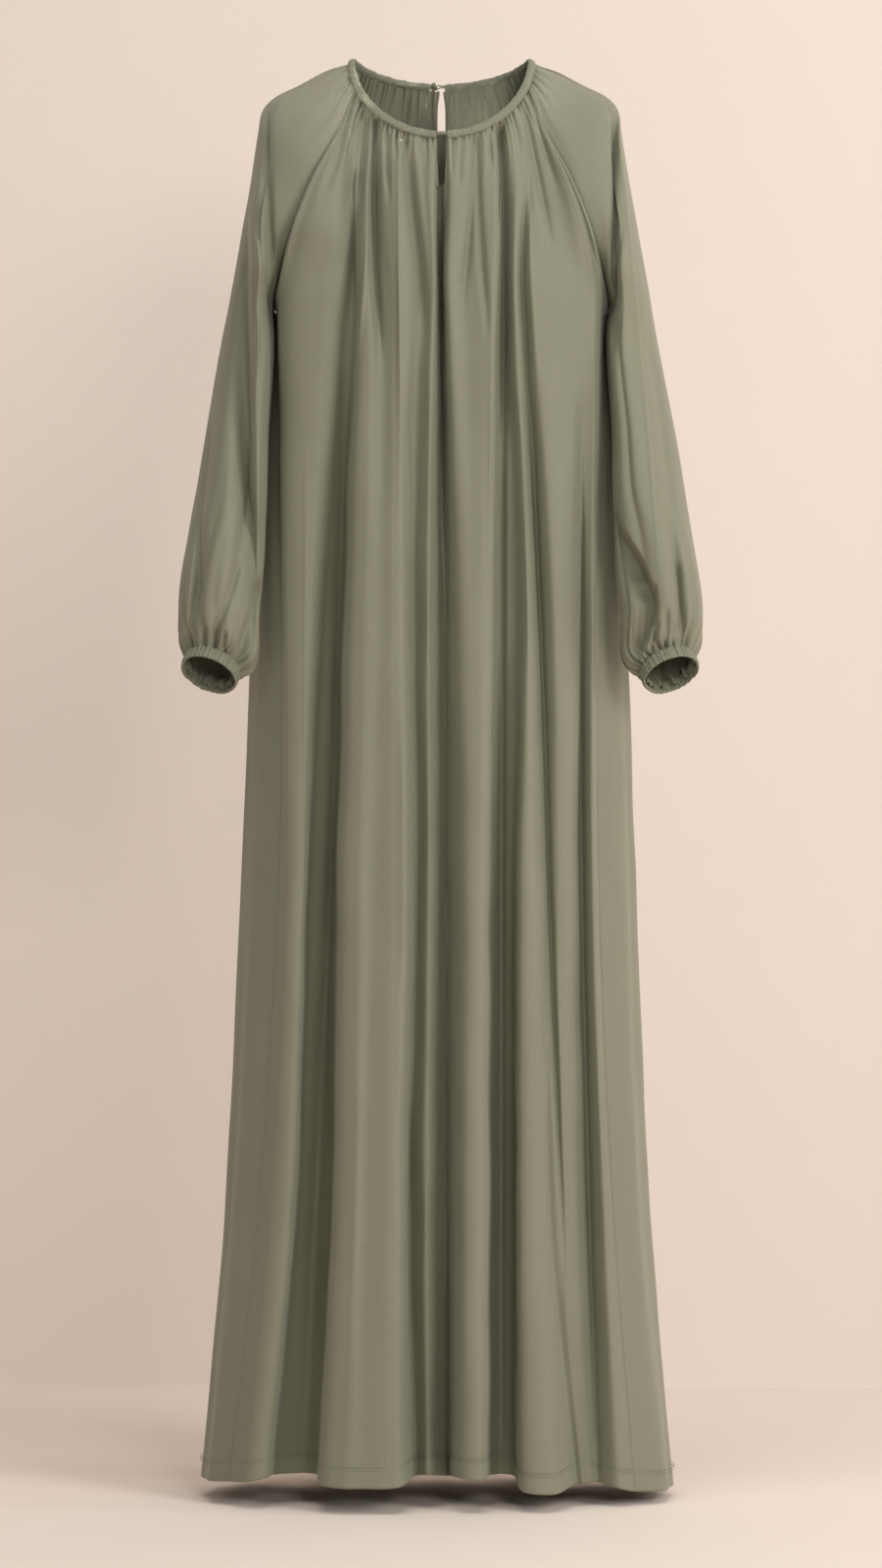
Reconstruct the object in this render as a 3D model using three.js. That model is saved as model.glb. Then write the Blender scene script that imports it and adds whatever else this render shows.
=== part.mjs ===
import * as THREE from 'three';

// ---------------------------------------------------------------------------
// Gathered raglan abaya, filled out and empty.  Millimetres, +Z up, front -Y.
// The origin is the middle of the shoulder line, level with the neck's top.
// ---------------------------------------------------------------------------
const CLOTH = 1.2;
const SEAM_GAP = 0.5;
const NECK_GAP = 0.6;
const NECK_HALF_WIDTH = 92;
const NECK_FRONT_DEPTH = 85;
const NECK_BACK_DEPTH = 68;
const NECK_FRONT_DROP = 90;
const NECK_BACK_DROP = 23.5;
const NECK_TOP = 3;
const NECK_ROUNDING = 0.02;
const BINDING_WIDTH = 8;
const BINDING_THICK = 4;
const RAGLAN_FRONT_ANGLE = 68.5;
const RAGLAN_BACK_ANGLE = 114;
const UNDERARM_Z = -255;
const BODY_UNDERARM = [169, 0, -259];
const UNDERARM_FORE = 58;
const GORE_START = 0.2;
const SLIT_END = 0.3;
const KEYHOLE_END = 0.19;
const GATHER_HEIGHT = 1.1;
const GATHER_REACH = 0.3;
const SLEEVE_SHIFT = -1.5;
const CUFF_RADIUS = 31;
const CUFF_WIDTH = 14;
const CUFF_WALL = 2.6;
const CUFF_RIPPLES = 30;
const BUTTON_RADIUS = 3.2;
const LOOP_RADIUS = 0.7;
const LOOP_REACH = 3.5;

// Heights of the five fold levels, as shares of the way from underarm to hem.
const LEVELS = [0, 0.24, 0.477, 0.789, 1];

// One row per fold line.  neck: angle round the neck from its middle, degrees.
// Then across (x) and depth (y) at underarm, hip, knee, shin and hem, and the
// height of the hem edge.
const FRONT_FOLDS = [
  // neck, xUnder, yUnder, xHip, yHip, xKnee, yKnee, xShin, yShin, xHem, yHem, zHem
  [-68.5, -168, -6, -162, -56, -164, -72, -187, -78, -214, -78, -1441],
  [-66, -160, -77, -156, -77, -154, -92, -170, -100, -194, -106, -1438],
  [-61, -120, -95, -131, -86, -138, -94, -151, -102, -174, -104, -1434],
  [-58, -95, -88, -114, -63, -131, -64, -144, -65, -166, -68, -1435],
  [-55, -87, -86, -98, -65, -107, -64, -113, -65, -128, -66, -1435],
  [-51, -82, -107, -94, -104, -102, -112, -109, -120, -122, -132, -1437],
  [-47, -71, -112, -78, -117, -84, -127, -89, -138, -100, -149, -1439],
  [-43, -59, -106, -61, -117, -67, -127, -76, -138, -78, -151, -1439],
  [-35, -48, -113, -48, -120, -48, -131, -50, -143, -52, -151, -1439],
  [-26, -39, -116, -37, -117, -35, -127, -39, -134, -38, -143, -1437],
  [-20, -23, -105, -28, -96, -26, -92, -32, -90, -27, -90, -1434],
  [-7, -6.5, -113, -13, -108, -12, -106, -15, -106, -13, -106, -1431],
  [-2.8, -2, -86, 0, -84, 2.5, -82, 4, -80, 4, -80, -1435],
  [2.8, 1.8, -86, 5, -84, 6.5, -82, 7.5, -80, 8.5, -80, -1435],
  [7, 6.5, -113, 15, -115, 19, -121, 16, -128, 15, -132, -1430],
  [22, 24, -110, 32, -121, 33, -131, 30, -141, 30, -148, -1431],
  [33, 52, -115, 49, -116, 46, -123, 45, -130, 44, -138, -1431],
  [36.5, 56, -98, 54, -88, 51, -80, 51, -78, 50, -82, -1434],
  [41, 65, -97, 74, -84, 72, -78, 73, -76, 72, -80, -1435],
  [45, 71, -107, 84, -100, 78, -112, 78, -122, 80, -134, -1444],
  [48, 76, -105, 88, -99, 93, -112, 101, -122, 112, -134, -1447],
  [51, 82, -90, 97, -80, 104, -92, 108, -98, 132, -86, -1444],
  [56, 93, -102, 112, -96, 117, -98, 120, -96, 142, -84, -1443],
  [61, 128, -88, 133, -84, 131, -92, 134, -86, 150, -82, -1442],
  [64, 147, -80, 142, -64, 140, -70, 149, -70, 158, -78, -1442],
  [66.5, 159, -66, 153, -68, 152, -83, 164, -88, 177, -94, -1446],
  [68.5, 165.5, -6, 158, -52, 158, -68, 174.5, -74, 194, -80, -1451],
];

const BACK_FOLDS = [
  // neck, xUnder, yUnder, xHip, yHip, xKnee, yKnee, xShin, yShin, xHem, yHem, zHem
  [-66, -168, 6, -164, 58, -167, 74, -190, 80, -217, 78, -1442],
  [-60, -146, 62, -152, 84, -158, 100, -176, 108, -196, 112, -1440],
  [-54, -118, 90, -132, 84, -138, 92, -150, 96, -170, 92, -1436],
  [-46, -96, 90, -108, 74, -116, 74, -124, 72, -142, 76, -1434],
  [-39, -80, 108, -88, 110, -92, 120, -98, 130, -114, 142, -1438],
  [-31, -62, 108, -66, 118, -68, 130, -72, 142, -84, 150, -1440],
  [-24, -46, 114, -46, 114, -46, 122, -50, 130, -54, 140, -1438],
  [-16, -30, 102, -32, 96, -30, 94, -32, 94, -34, 96, -1433],
  [-9, -16, 110, -16, 108, -15, 114, -14, 118, -14, 124, -1434],
  [-3.4, -4, 112, -4, 112, -4, 122, -5, 128, -5, 134, -1436],
  [3.4, 4, 112, 4, 112, 5, 122, 5, 128, 6, 134, -1436],
  [10, 18, 106, 18, 104, 20, 106, 22, 110, 24, 116, -1434],
  [18, 34, 100, 34, 94, 36, 92, 38, 92, 42, 94, -1433],
  [26, 50, 112, 52, 114, 54, 124, 56, 132, 62, 142, -1438],
  [34, 68, 108, 72, 116, 76, 126, 80, 138, 90, 148, -1441],
  [41, 84, 106, 92, 106, 98, 114, 102, 122, 114, 130, -1439],
  [48, 98, 88, 110, 74, 116, 74, 124, 74, 136, 78, -1436],
  [56, 120, 88, 132, 84, 136, 92, 146, 96, 160, 94, -1439],
  [61, 146, 60, 150, 82, 154, 98, 168, 104, 182, 108, -1445],
  [66, 165.5, 6, 160, 56, 162, 72, 179, 78, 199, 80, -1450],
];

// Side gores, front seam to back seam: one row per line, same levels.
const LEFT_GORE = [
  // xUnder, yUnder, xHip, yHip, xKnee, yKnee, xShin, yShin, xHem, yHem, zHem
  [-168, -6, -162, -56, -164, -72, -187, -78, -214, -78, -1441],
  [-169.4, -3, -179, -34, -191, -46, -211, -52, -236, -56, -1443],
  [-170.5, 4, -192, 14, -204.5, 0, -224.5, -4, -247, -6, -1445],
  [-169.4, 5.2, -186, 40, -192, 46, -212, 46, -238, 44, -1444],
  [-168, 6, -164, 58, -167, 74, -190, 80, -217, 78, -1442],
];

const RIGHT_GORE = [
  // xUnder, yUnder, xHip, yHip, xKnee, yKnee, xShin, yShin, xHem, yHem, zHem
  [165.5, -6, 158, -52, 158, -68, 174.5, -74, 194, -80, -1451],
  [165.9, -3, 174, -32, 185, -46, 202, -52, 226, -58, -1453],
  [166.6, 4, 187.5, 14, 198.5, 0, 216.5, -4, 238.5, -6, -1454],
  [165.9, 5.2, 181, 40, 186, 46, 204, 46, 229, 44, -1452],
  [165.5, 6, 160, 56, 162, 72, 179, 78, 199, 80, -1450],
];

// Raglan part of a sleeve, neck to underarm.  out: how far from the middle.
// o: the top of the shoulder and arm.  s: the raglan seam at the front.
// turn, seamPull, topPull: how the cloth leaves the seam and meets the top.
const YOKE = [
  // oOut, oZ, sOut, sY, sZ, turn, seamPull, topPull
  [96, -6, 87, -33, -41, 66, 8, 12],
  [118, -12, 97, -47, -61, 70, 10, 18],
  [145, -26, 108, -58, -84, 75, 14, 26],
  [168, -38, 119, -67, -105, 80, 18, 34],
  [181.5, -53, 129, -73, -124, 82, 22, 42],
  [185.5, -76, 141, -76, -152, 80, 24, 50],
  [190.5, -108, 150.5, -74, -178, 70, 28, 56],
  [197, -148, 158, -64, -203, 48, 38, 64],
  [205, -196, 165, -42, -231, 4, 66, 74],
  [214.5, -246, 172.3, 0, -257, -4, 90, 84],
];

// Arm part of a sleeve, below the underarm: one row per ring.
// lean: front of the ring leans to the body.  pitch, roll: tilt, degrees.
const ARM = [
  // z, out, y, halfWidth, halfDepth, lean, pitch, roll
  [-300, 198.5, -10, 25.7, 63, 0.25, 0, 0],
  [-380, 208, -26, 30, 58, 0.3, 0, 0],
  [-440, 212.6, -40, 34.5, 56, 0.3, 0, 0],
  [-480, 216.8, -48, 37.8, 55, 0.2, 2, 0],
  [-520, 220.3, -55, 40.3, 53, 0.1, 8, 2],
  [-560, 223.8, -61, 40.8, 50, 0.04, 17, 6],
  [-590, 224.5, -66, 40.5, 45, 0, 26, 10],
  [-610, 224.8, -69, 37, 38, 0, 31, 13],
  [-619.5, 229.5, -70.5, 29.6, 29.6, 0, 34, 15],
];

// Long folds of a sleeve: place round the ring at four heights, then height.
const SLEEVE_FOLDS = [
  // rowStart, rowEnd, uStart, uEnd, width, depth
  [3, 9.5, 0.43, 0.07, 0.035, 6],
  [8, 15.5, 0.2, 0.19, 0.03, 5],
  [12.5, 17.5, 0.33, 0.36, 0.03, 3],
  [3, 9.5, 0.57, 0.93, 0.035, 5],
  [8, 16, 0.78, 0.74, 0.035, 5],
  [11.5, 17.5, 0.62, 0.6, 0.03, 3],
];

const CUFF_CENTRE = new THREE.Vector3(229, -71, -620.8);
const CUFF_PITCH = 34;
const CUFF_ROLL = 15;

// ---------------------------------------------------------------------------
const DEG = Math.PI / 180;
const V = (x, y, z) => new THREE.Vector3(x, y, z);
const clamp = (x) => Math.min(1, Math.max(0, x));
const smooth = (x) => clamp(x) * clamp(x) * (3 - 2 * clamp(x));

function curve(knots, values, t) {
  const n = knots.length;
  let i = 0;
  while (i < n - 2 && t > knots[i + 1]) i += 1;
  const slope = (k) => {
    if (k === 0) return (values[1] - values[0]) / (knots[1] - knots[0]);
    if (k === n - 1) return (values[k] - values[k - 1]) / (knots[k] - knots[k - 1]);
    const hl = knots[k] - knots[k - 1];
    const hr = knots[k + 1] - knots[k];
    const dl = (values[k] - values[k - 1]) / hl;
    const dr = (values[k + 1] - values[k]) / hr;
    return (dl * hr + dr * hl) / (hl + hr);
  };
  const h = knots[i + 1] - knots[i];
  const s = (t - knots[i]) / h;
  const a = 2 * s ** 3 - 3 * s ** 2 + 1;
  const b = s ** 3 - 2 * s ** 2 + s;
  const c = -2 * s ** 3 + 3 * s ** 2;
  const d = s ** 3 - s ** 2;
  return a * values[i] + b * h * slope(i) + c * values[i + 1] + d * h * slope(i + 1);
}

const count = (n) => Array.from({ length: n }, (_, i) => i);

function across(values, j) {
  return curve(count(values.length), values, j);
}

// ---- neck -----------------------------------------------------------------
function neckPoint(angle) {
  const s = Math.sin(angle * DEG);
  const c = Math.cos(angle * DEG);
  const soft = (q) => (q + Math.sqrt(q * q + NECK_ROUNDING)) / 2;
  const y = -(c > 0 ? NECK_FRONT_DEPTH : NECK_BACK_DEPTH) * c;
  const z = NECK_TOP - NECK_FRONT_DROP * soft(c) - NECK_BACK_DROP * soft(-c) ** 1.3;
  return V(NECK_HALF_WIDTH * s, y, z);
}

function neckDown(angle) {
  const s = Math.sin(angle * DEG);
  const c = Math.cos(angle * DEG);
  const out = 0.36 + 0.52 * Math.abs(s) ** 8;
  return V(out * s, -out * c, -Math.sqrt(1 - out * out)).normalize();
}

function neckRun(angle) {
  return neckPoint(angle + 0.5).sub(neckPoint(angle - 0.5)).normalize();
}

function neckFlat(angle) {
  const down = neckDown(angle);
  const run = neckRun(angle);
  return down.addScaledVector(run, -down.dot(run)).normalize();
}

function neckEdge(angle) {
  const reach = BINDING_WIDTH / 2 + NECK_GAP;
  return neckPoint(angle).addScaledVector(neckFlat(angle), reach);
}

// ---- sleeve ---------------------------------------------------------------
function ringFrame(pitch, roll) {
  const p = pitch * DEG;
  const r = roll * DEG;
  const along = V(Math.cos(r), 0, Math.sin(r));
  const down = V(Math.sin(r), 0, -Math.cos(r));
  const axis = down.clone().multiplyScalar(Math.cos(p)).add(V(0, -Math.sin(p), 0));
  const fore = down.clone().multiplyScalar(-Math.sin(p)).add(V(0, -Math.cos(p), 0));
  return { along, axis, fore };
}

// Each row holds seven vectors: two half rings, front and back, as cubics.
function yokeRow(k) {
  const [oOut, oZ, sOut, sY, sZ, turn, seamPull, topPull] = YOKE[k];
  const lift = 30 * (1 - k / (YOKE.length - 1)) ** 1.2;
  const o = V(oOut, 0, oZ);
  const s = V(sOut, sY, sZ);
  const b = V(sOut - 1, -sY * 0.94, sZ + lift);
  const side = Math.sin(turn * DEG) * seamPull;
  const fore = Math.cos(turn * DEG) * seamPull;
  const dz = (oZ - sZ) / 3;
  return [
    s,
    s.clone().add(V(side, -fore, dz)),
    o.clone().add(V(0, -topPull, -dz)),
    o,
    o.clone().add(V(0, topPull, -dz * 0.8)),
    b.clone().add(V(side, fore, dz * 0.8)),
    b,
  ];
}

function armRow(k) {
  const [z, out, y, a, b, lean, pitch, roll] = ARM[k];
  const { along, fore } = ringFrame(pitch, roll);
  const c = V(out, y, z);
  const inner = c.clone().addScaledVector(along, -a);
  const outer = c.clone().addScaledVector(along, a);
  const pull = fore.clone().multiplyScalar(b * 1.3333).add(V(-lean * b, 0, 0));
  const push = fore.clone().multiplyScalar(-b * 1.3333).add(V(lean * b * 0.12, 0, 0));
  return [
    inner,
    inner.clone().add(pull),
    outer.clone().add(pull),
    outer,
    outer.clone().add(push),
    inner.clone().add(push),
    inner.clone(),
  ];
}

const SLEEVE_ROWS = [
  ...YOKE.map((_, k) => yokeRow(k)),
  ...ARM.map((_, k) => armRow(k)),
];
const ROW_KNOTS = count(SLEEVE_ROWS.length);
const LAST_ROW = SLEEVE_ROWS.length - 1;
const UNDERARM_ROW = YOKE.length - 1;

function rowVector(i, v) {
  const pick = (key) => curve(ROW_KNOTS, SLEEVE_ROWS.map((row) => row[i][key]), v);
  return V(pick('x'), pick('y'), pick('z'));
}

function bezier(a, b, c, d, t) {
  const q = 1 - t;
  return V(0, 0, 0)
    .addScaledVector(a, q * q * q)
    .addScaledVector(b, 3 * q * q * t)
    .addScaledVector(c, 3 * q * t * t)
    .addScaledVector(d, t * t * t);
}

function sleeveShape(p, u) {
  if (u <= 0.5) return bezier(p[0], p[1], p[2], p[3], 2 * u);
  return bezier(p[3], p[4], p[5], p[6], 2 * u - 1);
}

function seamPoint(v, front) {
  return rowVector(front ? 0 : 6, v);
}

function sleevePoint(u, v, column) {
  const p = [0, 1, 2, 3, 4, 5, 6].map((i) => rowVector(i, v));
  const point = sleeveShape(p, u);
  const next = sleeveShape(p, clamp(u + 0.01));
  const last = sleeveShape(p, clamp(u - 0.01));
  const run = next.sub(last).normalize();
  const below = sleeveShape([0, 1, 2, 3, 4, 5, 6].map((i) => rowVector(i, Math.min(v + 0.05, LAST_ROW))), u);
  const above = sleeveShape([0, 1, 2, 3, 4, 5, 6].map((i) => rowVector(i, Math.max(v - 0.05, 0))), u);
  const fall = below.sub(above).normalize();
  const normal = run.clone().cross(fall).normalize();
  let dent = 0;
  for (const [v0, v1, u0, u1, width, depth] of SLEEVE_FOLDS) {
    const s = (v - v0) / (v1 - v0);
    if (s <= 0 || s >= 1) continue;
    const at = (u - (u0 + (u1 - u0) * s)) / width;
    dent += depth * Math.sin(Math.PI * s) ** 0.7 * Math.exp(-at * at);
  }
  const nearNeck = Math.exp(-((v / 1.6) ** 2));
  const nearCuff = Math.exp(-(((LAST_ROW - v) / 1.5) ** 2));
  const edge = clamp(Math.min(u, 1 - u) * 20);
  const pleat = column % 2 === 0 ? 1 : -1;
  const swell = GATHER_HEIGHT * pleat * (nearNeck * edge + 1.3 * nearCuff);
  point.addScaledVector(normal, -dent * edge + swell);
  if (v < 2) {
    const p0 = [0, 1, 2, 3, 4, 5, 6].map((i) => rowVector(i, 0));
    const turn = RAGLAN_FRONT_ANGLE + (RAGLAN_BACK_ANGLE - RAGLAN_FRONT_ANGLE) * u;
    const fix = neckEdge(turn).sub(sleeveShape(p0, u));
    point.addScaledVector(fix, 1 - smooth(v / 2));
  }
  return point;
}

// ---- cloth wall -----------------------------------------------------------
const SHARED = new Map();
const keyOf = (p) => `${p.x.toFixed(3)},${p.y.toFixed(3)},${p.z.toFixed(3)}`;

// Faces of a grid of points, with each point once, however often it occurs.
function clothMesh(grid, isHole, facing) {
  const points = [];
  const index = new Map();
  const id = grid.map((row) => row.map((p) => {
    if (!index.has(keyOf(p))) {
      index.set(keyOf(p), points.length);
      points.push(p);
    }
    return index.get(keyOf(p));
  }));
  const faces = [];
  const put = (a, b, c) => faces.push(facing > 0 ? [a, b, c] : [a, c, b]);
  for (let r = 0; r < grid.length - 1; r += 1) {
    for (let c = 0; c < grid[r].length - 1; c += 1) {
      if (isHole(r, c)) continue;
      const [a, b, d, e] = [id[r][c], id[r][c + 1], id[r + 1][c + 1], id[r + 1][c]];
      if (points[a].distanceTo(points[d]) < points[b].distanceTo(points[e])) {
        put(a, b, d);
        put(a, d, e);
      } else {
        put(a, b, e);
        put(b, d, e);
      }
    }
  }
  const normals = points.map(() => V(0, 0, 0));
  for (const [a, b, c] of faces) {
    const ab = points[b].clone().sub(points[a]);
    const ac = points[c].clone().sub(points[a]);
    const n = ab.cross(ac);
    for (const k of [a, b, c]) normals[k].add(n);
  }
  points.forEach((p, k) => {
    if (!SHARED.has(keyOf(p))) SHARED.set(keyOf(p), V(0, 0, 0));
    SHARED.get(keyOf(p)).add(normals[k].clone().normalize());
  });
  return { grid, id, points, faces };
}

// Both sides of a seam share one normal, so their end faces are parallel;
// each side is drawn in square to the seam by half the room of the seam.
function clothWall(mesh, seamRows) {
  const { grid, id, points, faces } = mesh;
  const normals = points.map((p) => SHARED.get(keyOf(p)).clone().normalize());
  const moved = points.map((p) => p.clone());
  grid.forEach((row, r) => {
    if (!seamRows(r)) return;
    const n = row.length - 1;
    for (const [edge, near] of [[0, 1], [n, n - 1]]) {
      const along = grid[Math.min(r + 1, grid.length - 1)][edge].clone();
      along.sub(grid[Math.max(r - 1, 0)][edge]).normalize();
      const inward = row[near].clone().sub(row[edge]);
      inward.addScaledVector(along, -inward.dot(along)).normalize();
      moved[id[r][edge]].addScaledVector(inward, SEAM_GAP / 2);
    }
  });
  const used = new Map();
  const out = [];
  const put = (k, side) => {
    const key = `${k}/${side}`;
    if (!used.has(key)) {
      used.set(key, out.length);
      out.push(moved[k].clone().addScaledVector(normals[k], (side * CLOTH) / 2));
    }
    return used.get(key);
  };
  const tris = [];
  const edges = new Map();
  for (const [a, b, c] of faces) {
    tris.push([put(a, 1), put(b, 1), put(c, 1)]);
    tris.push([put(a, -1), put(c, -1), put(b, -1)]);
    for (const [p, q] of [[a, b], [b, c], [c, a]]) edges.set(`${p},${q}`, [p, q]);
  }
  for (const [p, q] of edges.values()) {
    if (edges.has(`${q},${p}`)) continue;
    tris.push([put(p, 1), put(p, -1), put(q, -1)]);
    tris.push([put(p, 1), put(q, -1), put(q, 1)]);
  }
  return solid(out, tris);
}

function solid(points, tris) {
  let volume = 0;
  for (const [a, b, c] of tris) {
    volume += points[a].dot(points[b].clone().cross(points[c])) / 6;
  }
  const flip = volume < 0;
  const flat = [];
  for (const p of points) flat.push(p.x, p.y, p.z);
  const index = [];
  for (const [a, b, c] of tris) index.push(...(flip ? [a, c, b] : [a, b, c]));
  const geometry = new THREE.BufferGeometry();
  geometry.setAttribute('position', new THREE.Float32BufferAttribute(flat, 3));
  geometry.setIndex(index);
  geometry.computeVertexNormals();
  return geometry;
}

// Closed ring or open bar with a round-cornered section, section by section.
function sweep(sections, closed) {
  const n = sections.length;
  const m = sections[0].length;
  const points = sections.flat();
  const tris = [];
  const rounds = closed ? n : n - 1;
  for (let i = 0; i < rounds; i += 1) {
    for (let k = 0; k < m; k += 1) {
      const a = i * m + k;
      const b = i * m + ((k + 1) % m);
      const c = ((i + 1) % n) * m + ((k + 1) % m);
      const d = ((i + 1) % n) * m + k;
      tris.push([a, b, c], [a, c, d]);
    }
  }
  if (!closed) {
    for (let k = 1; k < m - 1; k += 1) {
      tris.push([0, k + 1, k]);
      tris.push([(n - 1) * m, (n - 1) * m + k, (n - 1) * m + k + 1]);
    }
  }
  return solid(points, tris);
}

// ---- body panels ----------------------------------------------------------
function foldLines(table, offset) {
  const xs = LEVELS.map((_, k) => table.map((row) => row[offset + 2 * k]));
  const ys = LEVELS.map((_, k) => table.map((row) => row[offset + 2 * k + 1]));
  const hem = table.map((row) => row[offset + 10]);
  return { xs, ys, hem };
}

function skirtPoint(lines, j, t) {
  const x = curve(LEVELS, lines.xs.map((values) => across(values, j)), t);
  const y = curve(LEVELS, lines.ys.map((values) => across(values, j)), t);
  const z = UNDERARM_Z + (across(lines.hem, j) - UNDERARM_Z) * t;
  return V(x, y, z);
}

function topPoint(table, lines, j, w, isBack) {
  const angle = across(table.map((row) => row[0]), j);
  const turn = isBack ? 180 - angle : angle;
  const start = neckEdge(turn);
  const end = skirtPoint(lines, j, 0);
  const reach = start.distanceTo(end);
  const leave = neckDown(turn).multiplyScalar(reach * 0.9);
  const arrive = skirtPoint(lines, j, 0.05).sub(end).normalize().multiplyScalar(reach);
  const a = 2 * w ** 3 - 3 * w ** 2 + 1;
  const b = w ** 3 - 2 * w ** 2 + w;
  const c = -2 * w ** 3 + 3 * w ** 2;
  const d = w ** 3 - w ** 2;
  return V(0, 0, 0)
    .addScaledVector(start, a)
    .addScaledVector(leave, b)
    .addScaledVector(end, c)
    .addScaledVector(arrive, d);
}

function raglanAt(side, w, isBack) {
  if (w === 1) return V(side * BODY_UNDERARM[0], BODY_UNDERARM[1], BODY_UNDERARM[2]);
  const p = seamPoint(w * UNDERARM_ROW, !isBack);
  if (w < 2 / UNDERARM_ROW) {
    const start = neckEdge(isBack ? RAGLAN_BACK_ANGLE : RAGLAN_FRONT_ANGLE);
    const fix = start.sub(seamPoint(0, !isBack));
    p.addScaledVector(fix, 1 - smooth((w * UNDERARM_ROW) / 2));
  }
  return V(side * p.x, p.y, p.z);
}

function yokePoint(table, lines, j, w, isBack, column) {
  const last = table.length - 1;
  const p = topPoint(table, lines, j, w, isBack);
  for (const [side, k] of [[-1, 0], [1, last]]) {
    const off = Math.abs(j - k);
    if (off >= 4.5) continue;
    const fix = raglanAt(side, w, isBack).sub(topPoint(table, lines, k, w, isBack));
    const held = (isBack ? 1 : -1) * UNDERARM_FORE;
    const turned = held * (3 * w ** 2 - 2 * w ** 3 - clamp((w - 0.72) / 0.28) ** 2);
    fix.y -= turned;
    p.addScaledVector(fix, 1 - smooth(off / (4.5 - 3.3 * smooth((w - 0.7) / 0.3))));
    p.y += turned * (1 - smooth(off / 1.2));
  }
  const edge = clamp(Math.min(j, last - j) * 1.5);
  const fade = Math.exp(-((w / GATHER_REACH) ** 2));
  const pleat = column % 2 === 0 ? -1 : 1;
  const q = topPoint(table, lines, j, 0.02, isBack).sub(topPoint(table, lines, j, 0, isBack));
  const run = topPoint(table, lines, Math.min(j + 0.1, last), 0, isBack);
  run.sub(topPoint(table, lines, Math.max(j - 0.1, 0), 0, isBack));
  const normal = q.cross(run).normalize();
  return p.addScaledVector(normal, (isBack ? 1 : -1) * GATHER_HEIGHT * pleat * fade * edge);
}

const YOKE_STEPS = [0, 0.045, 0.11, 0.2, 0.31, 0.42, 0.54, 0.68, 0.84, 1];
const SKIRT_STEPS = [0.045, 0.11, 0.19, 0.28, 0.38, 0.48, 0.59, 0.7, 0.81, 0.91, 1];

function panel(table, isBack) {
  const lines = foldLines(table, 1);
  const last = table.length - 1;
  const columns = count(2 * last + 1).map((c) => c / 2);
  const grid = [];
  for (const w of YOKE_STEPS) {
    grid.push(columns.map((j, c) => yokePoint(table, lines, j, w, isBack, c)));
  }
  for (const t of SKIRT_STEPS) {
    grid.push(columns.map((j) => skirtPoint(lines, j, t)));
  }
  return grid;
}

function centreGap(table, end) {
  const left = table.findIndex((row) => row[0] > -5) * 2;
  const rows = YOKE_STEPS.findIndex((w) => w > end);
  return (r, c) => r < rows && (c === left || c === left + 1);
}

// The gore starts as a narrow tongue just under the arm.
function gore(table, side) {
  const lines = foldLines(table, 0);
  const last = table.length - 1;
  const row = (t) => count(2 * last + 1).map((c) => skirtPoint(lines, c / 2, t));
  const top = V(side * BODY_UNDERARM[0], BODY_UNDERARM[1], BODY_UNDERARM[2]);
  const tongue = row(SKIRT_STEPS[0]).map((p) => top.clone().lerp(p, GORE_START));
  return [tongue, ...SKIRT_STEPS.map((t) => row(t))];
}

const SLEEVE_STEPS = [
  ...YOKE_STEPS.map((w) => w * UNDERARM_ROW),
  9.6, 10.3, 11, 11.7, 12.5, 13.3, 14.1, 15, 15.8, 16.5, 17.2, 17.65, 18,
];
const SLEEVE_COLUMNS = 30;

function sleeve(side) {
  return SLEEVE_STEPS.map((v) => count(SLEEVE_COLUMNS + 1).map((c) => sleeveSpot(side, v, c)));
}

function sleeveSpot(side, v, c) {
  const closing = v >= UNDERARM_ROW;
  const column = closing && c === SLEEVE_COLUMNS ? 0 : c;
  const p = sleevePoint(column / SLEEVE_COLUMNS, v, column);
  const free = clamp(Math.min(c, SLEEVE_COLUMNS - c) / 8 + (v > UNDERARM_ROW ? 1 : 0));
  return V(side * p.x + SLEEVE_SHIFT * smooth((v - 2) / 3) * free, p.y, p.z);
}

// ---- cuffs ----------------------------------------------------------------
function cuff(side) {
  const { along, axis, fore } = ringFrame(CUFF_PITCH, CUFF_ROLL);
  const profile = [
    [0, 0.2], [0.5, 0], [1, 0.2], [1, 0.8], [0.5, 1], [0, 0.8],
  ];
  const sections = count(CUFF_RIPPLES * 2).map((i) => {
    const angle = (i / (CUFF_RIPPLES * 2)) * 2 * Math.PI;
    const ripple = i % 2 === 0 ? 0.35 : -0.35;
    return profile.map(([across01, down01]) => {
      const radius = CUFF_RADIUS - CUFF_WALL * (1 - across01) + ripple;
      const p = CUFF_CENTRE.clone();
      p.addScaledVector(along, radius * Math.cos(angle));
      p.addScaledVector(fore, radius * Math.sin(angle));
      p.addScaledVector(axis, SEAM_GAP + 0.3 + CUFF_WIDTH * down01);
      return V(side * p.x + SLEEVE_SHIFT, p.y, p.z);
    });
  });
  return sweep(sections, true);
}

// ---- neck binding ---------------------------------------------------------
function binding(from, to, steps) {
  const sections = count(steps + 1).map((i) => {
    const angle = from + ((to - from) * i) / steps;
    const centre = neckPoint(angle);
    const flat = neckFlat(angle);
    const face = neckRun(angle).cross(flat).normalize();
    return count(8).map((k) => {
      const turn = (k / 8) * 2 * Math.PI + Math.PI / 8;
      const p = centre.clone();
      p.addScaledVector(flat, (Math.cos(turn) * BINDING_WIDTH) / 2);
      p.addScaledVector(face, (Math.sin(turn) * BINDING_THICK) / 2);
      return p;
    });
  });
  return sweep(sections, false);
}

function bar(centre, length, width, thick) {
  const sections = [-0.5, -0.3, 0.3, 0.5].map((s) => count(8).map((k) => {
    const turn = (k / 8) * 2 * Math.PI;
    const size = Math.abs(s) > 0.4 ? 0.8 : 1;
    const dz = (Math.cos(turn) * width * size) / 2;
    const dy = (Math.sin(turn) * thick * size) / 2;
    return V(centre.x + s * length, centre.y + dy, centre.z + dz);
  }));
  return sweep(sections, false);
}

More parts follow.
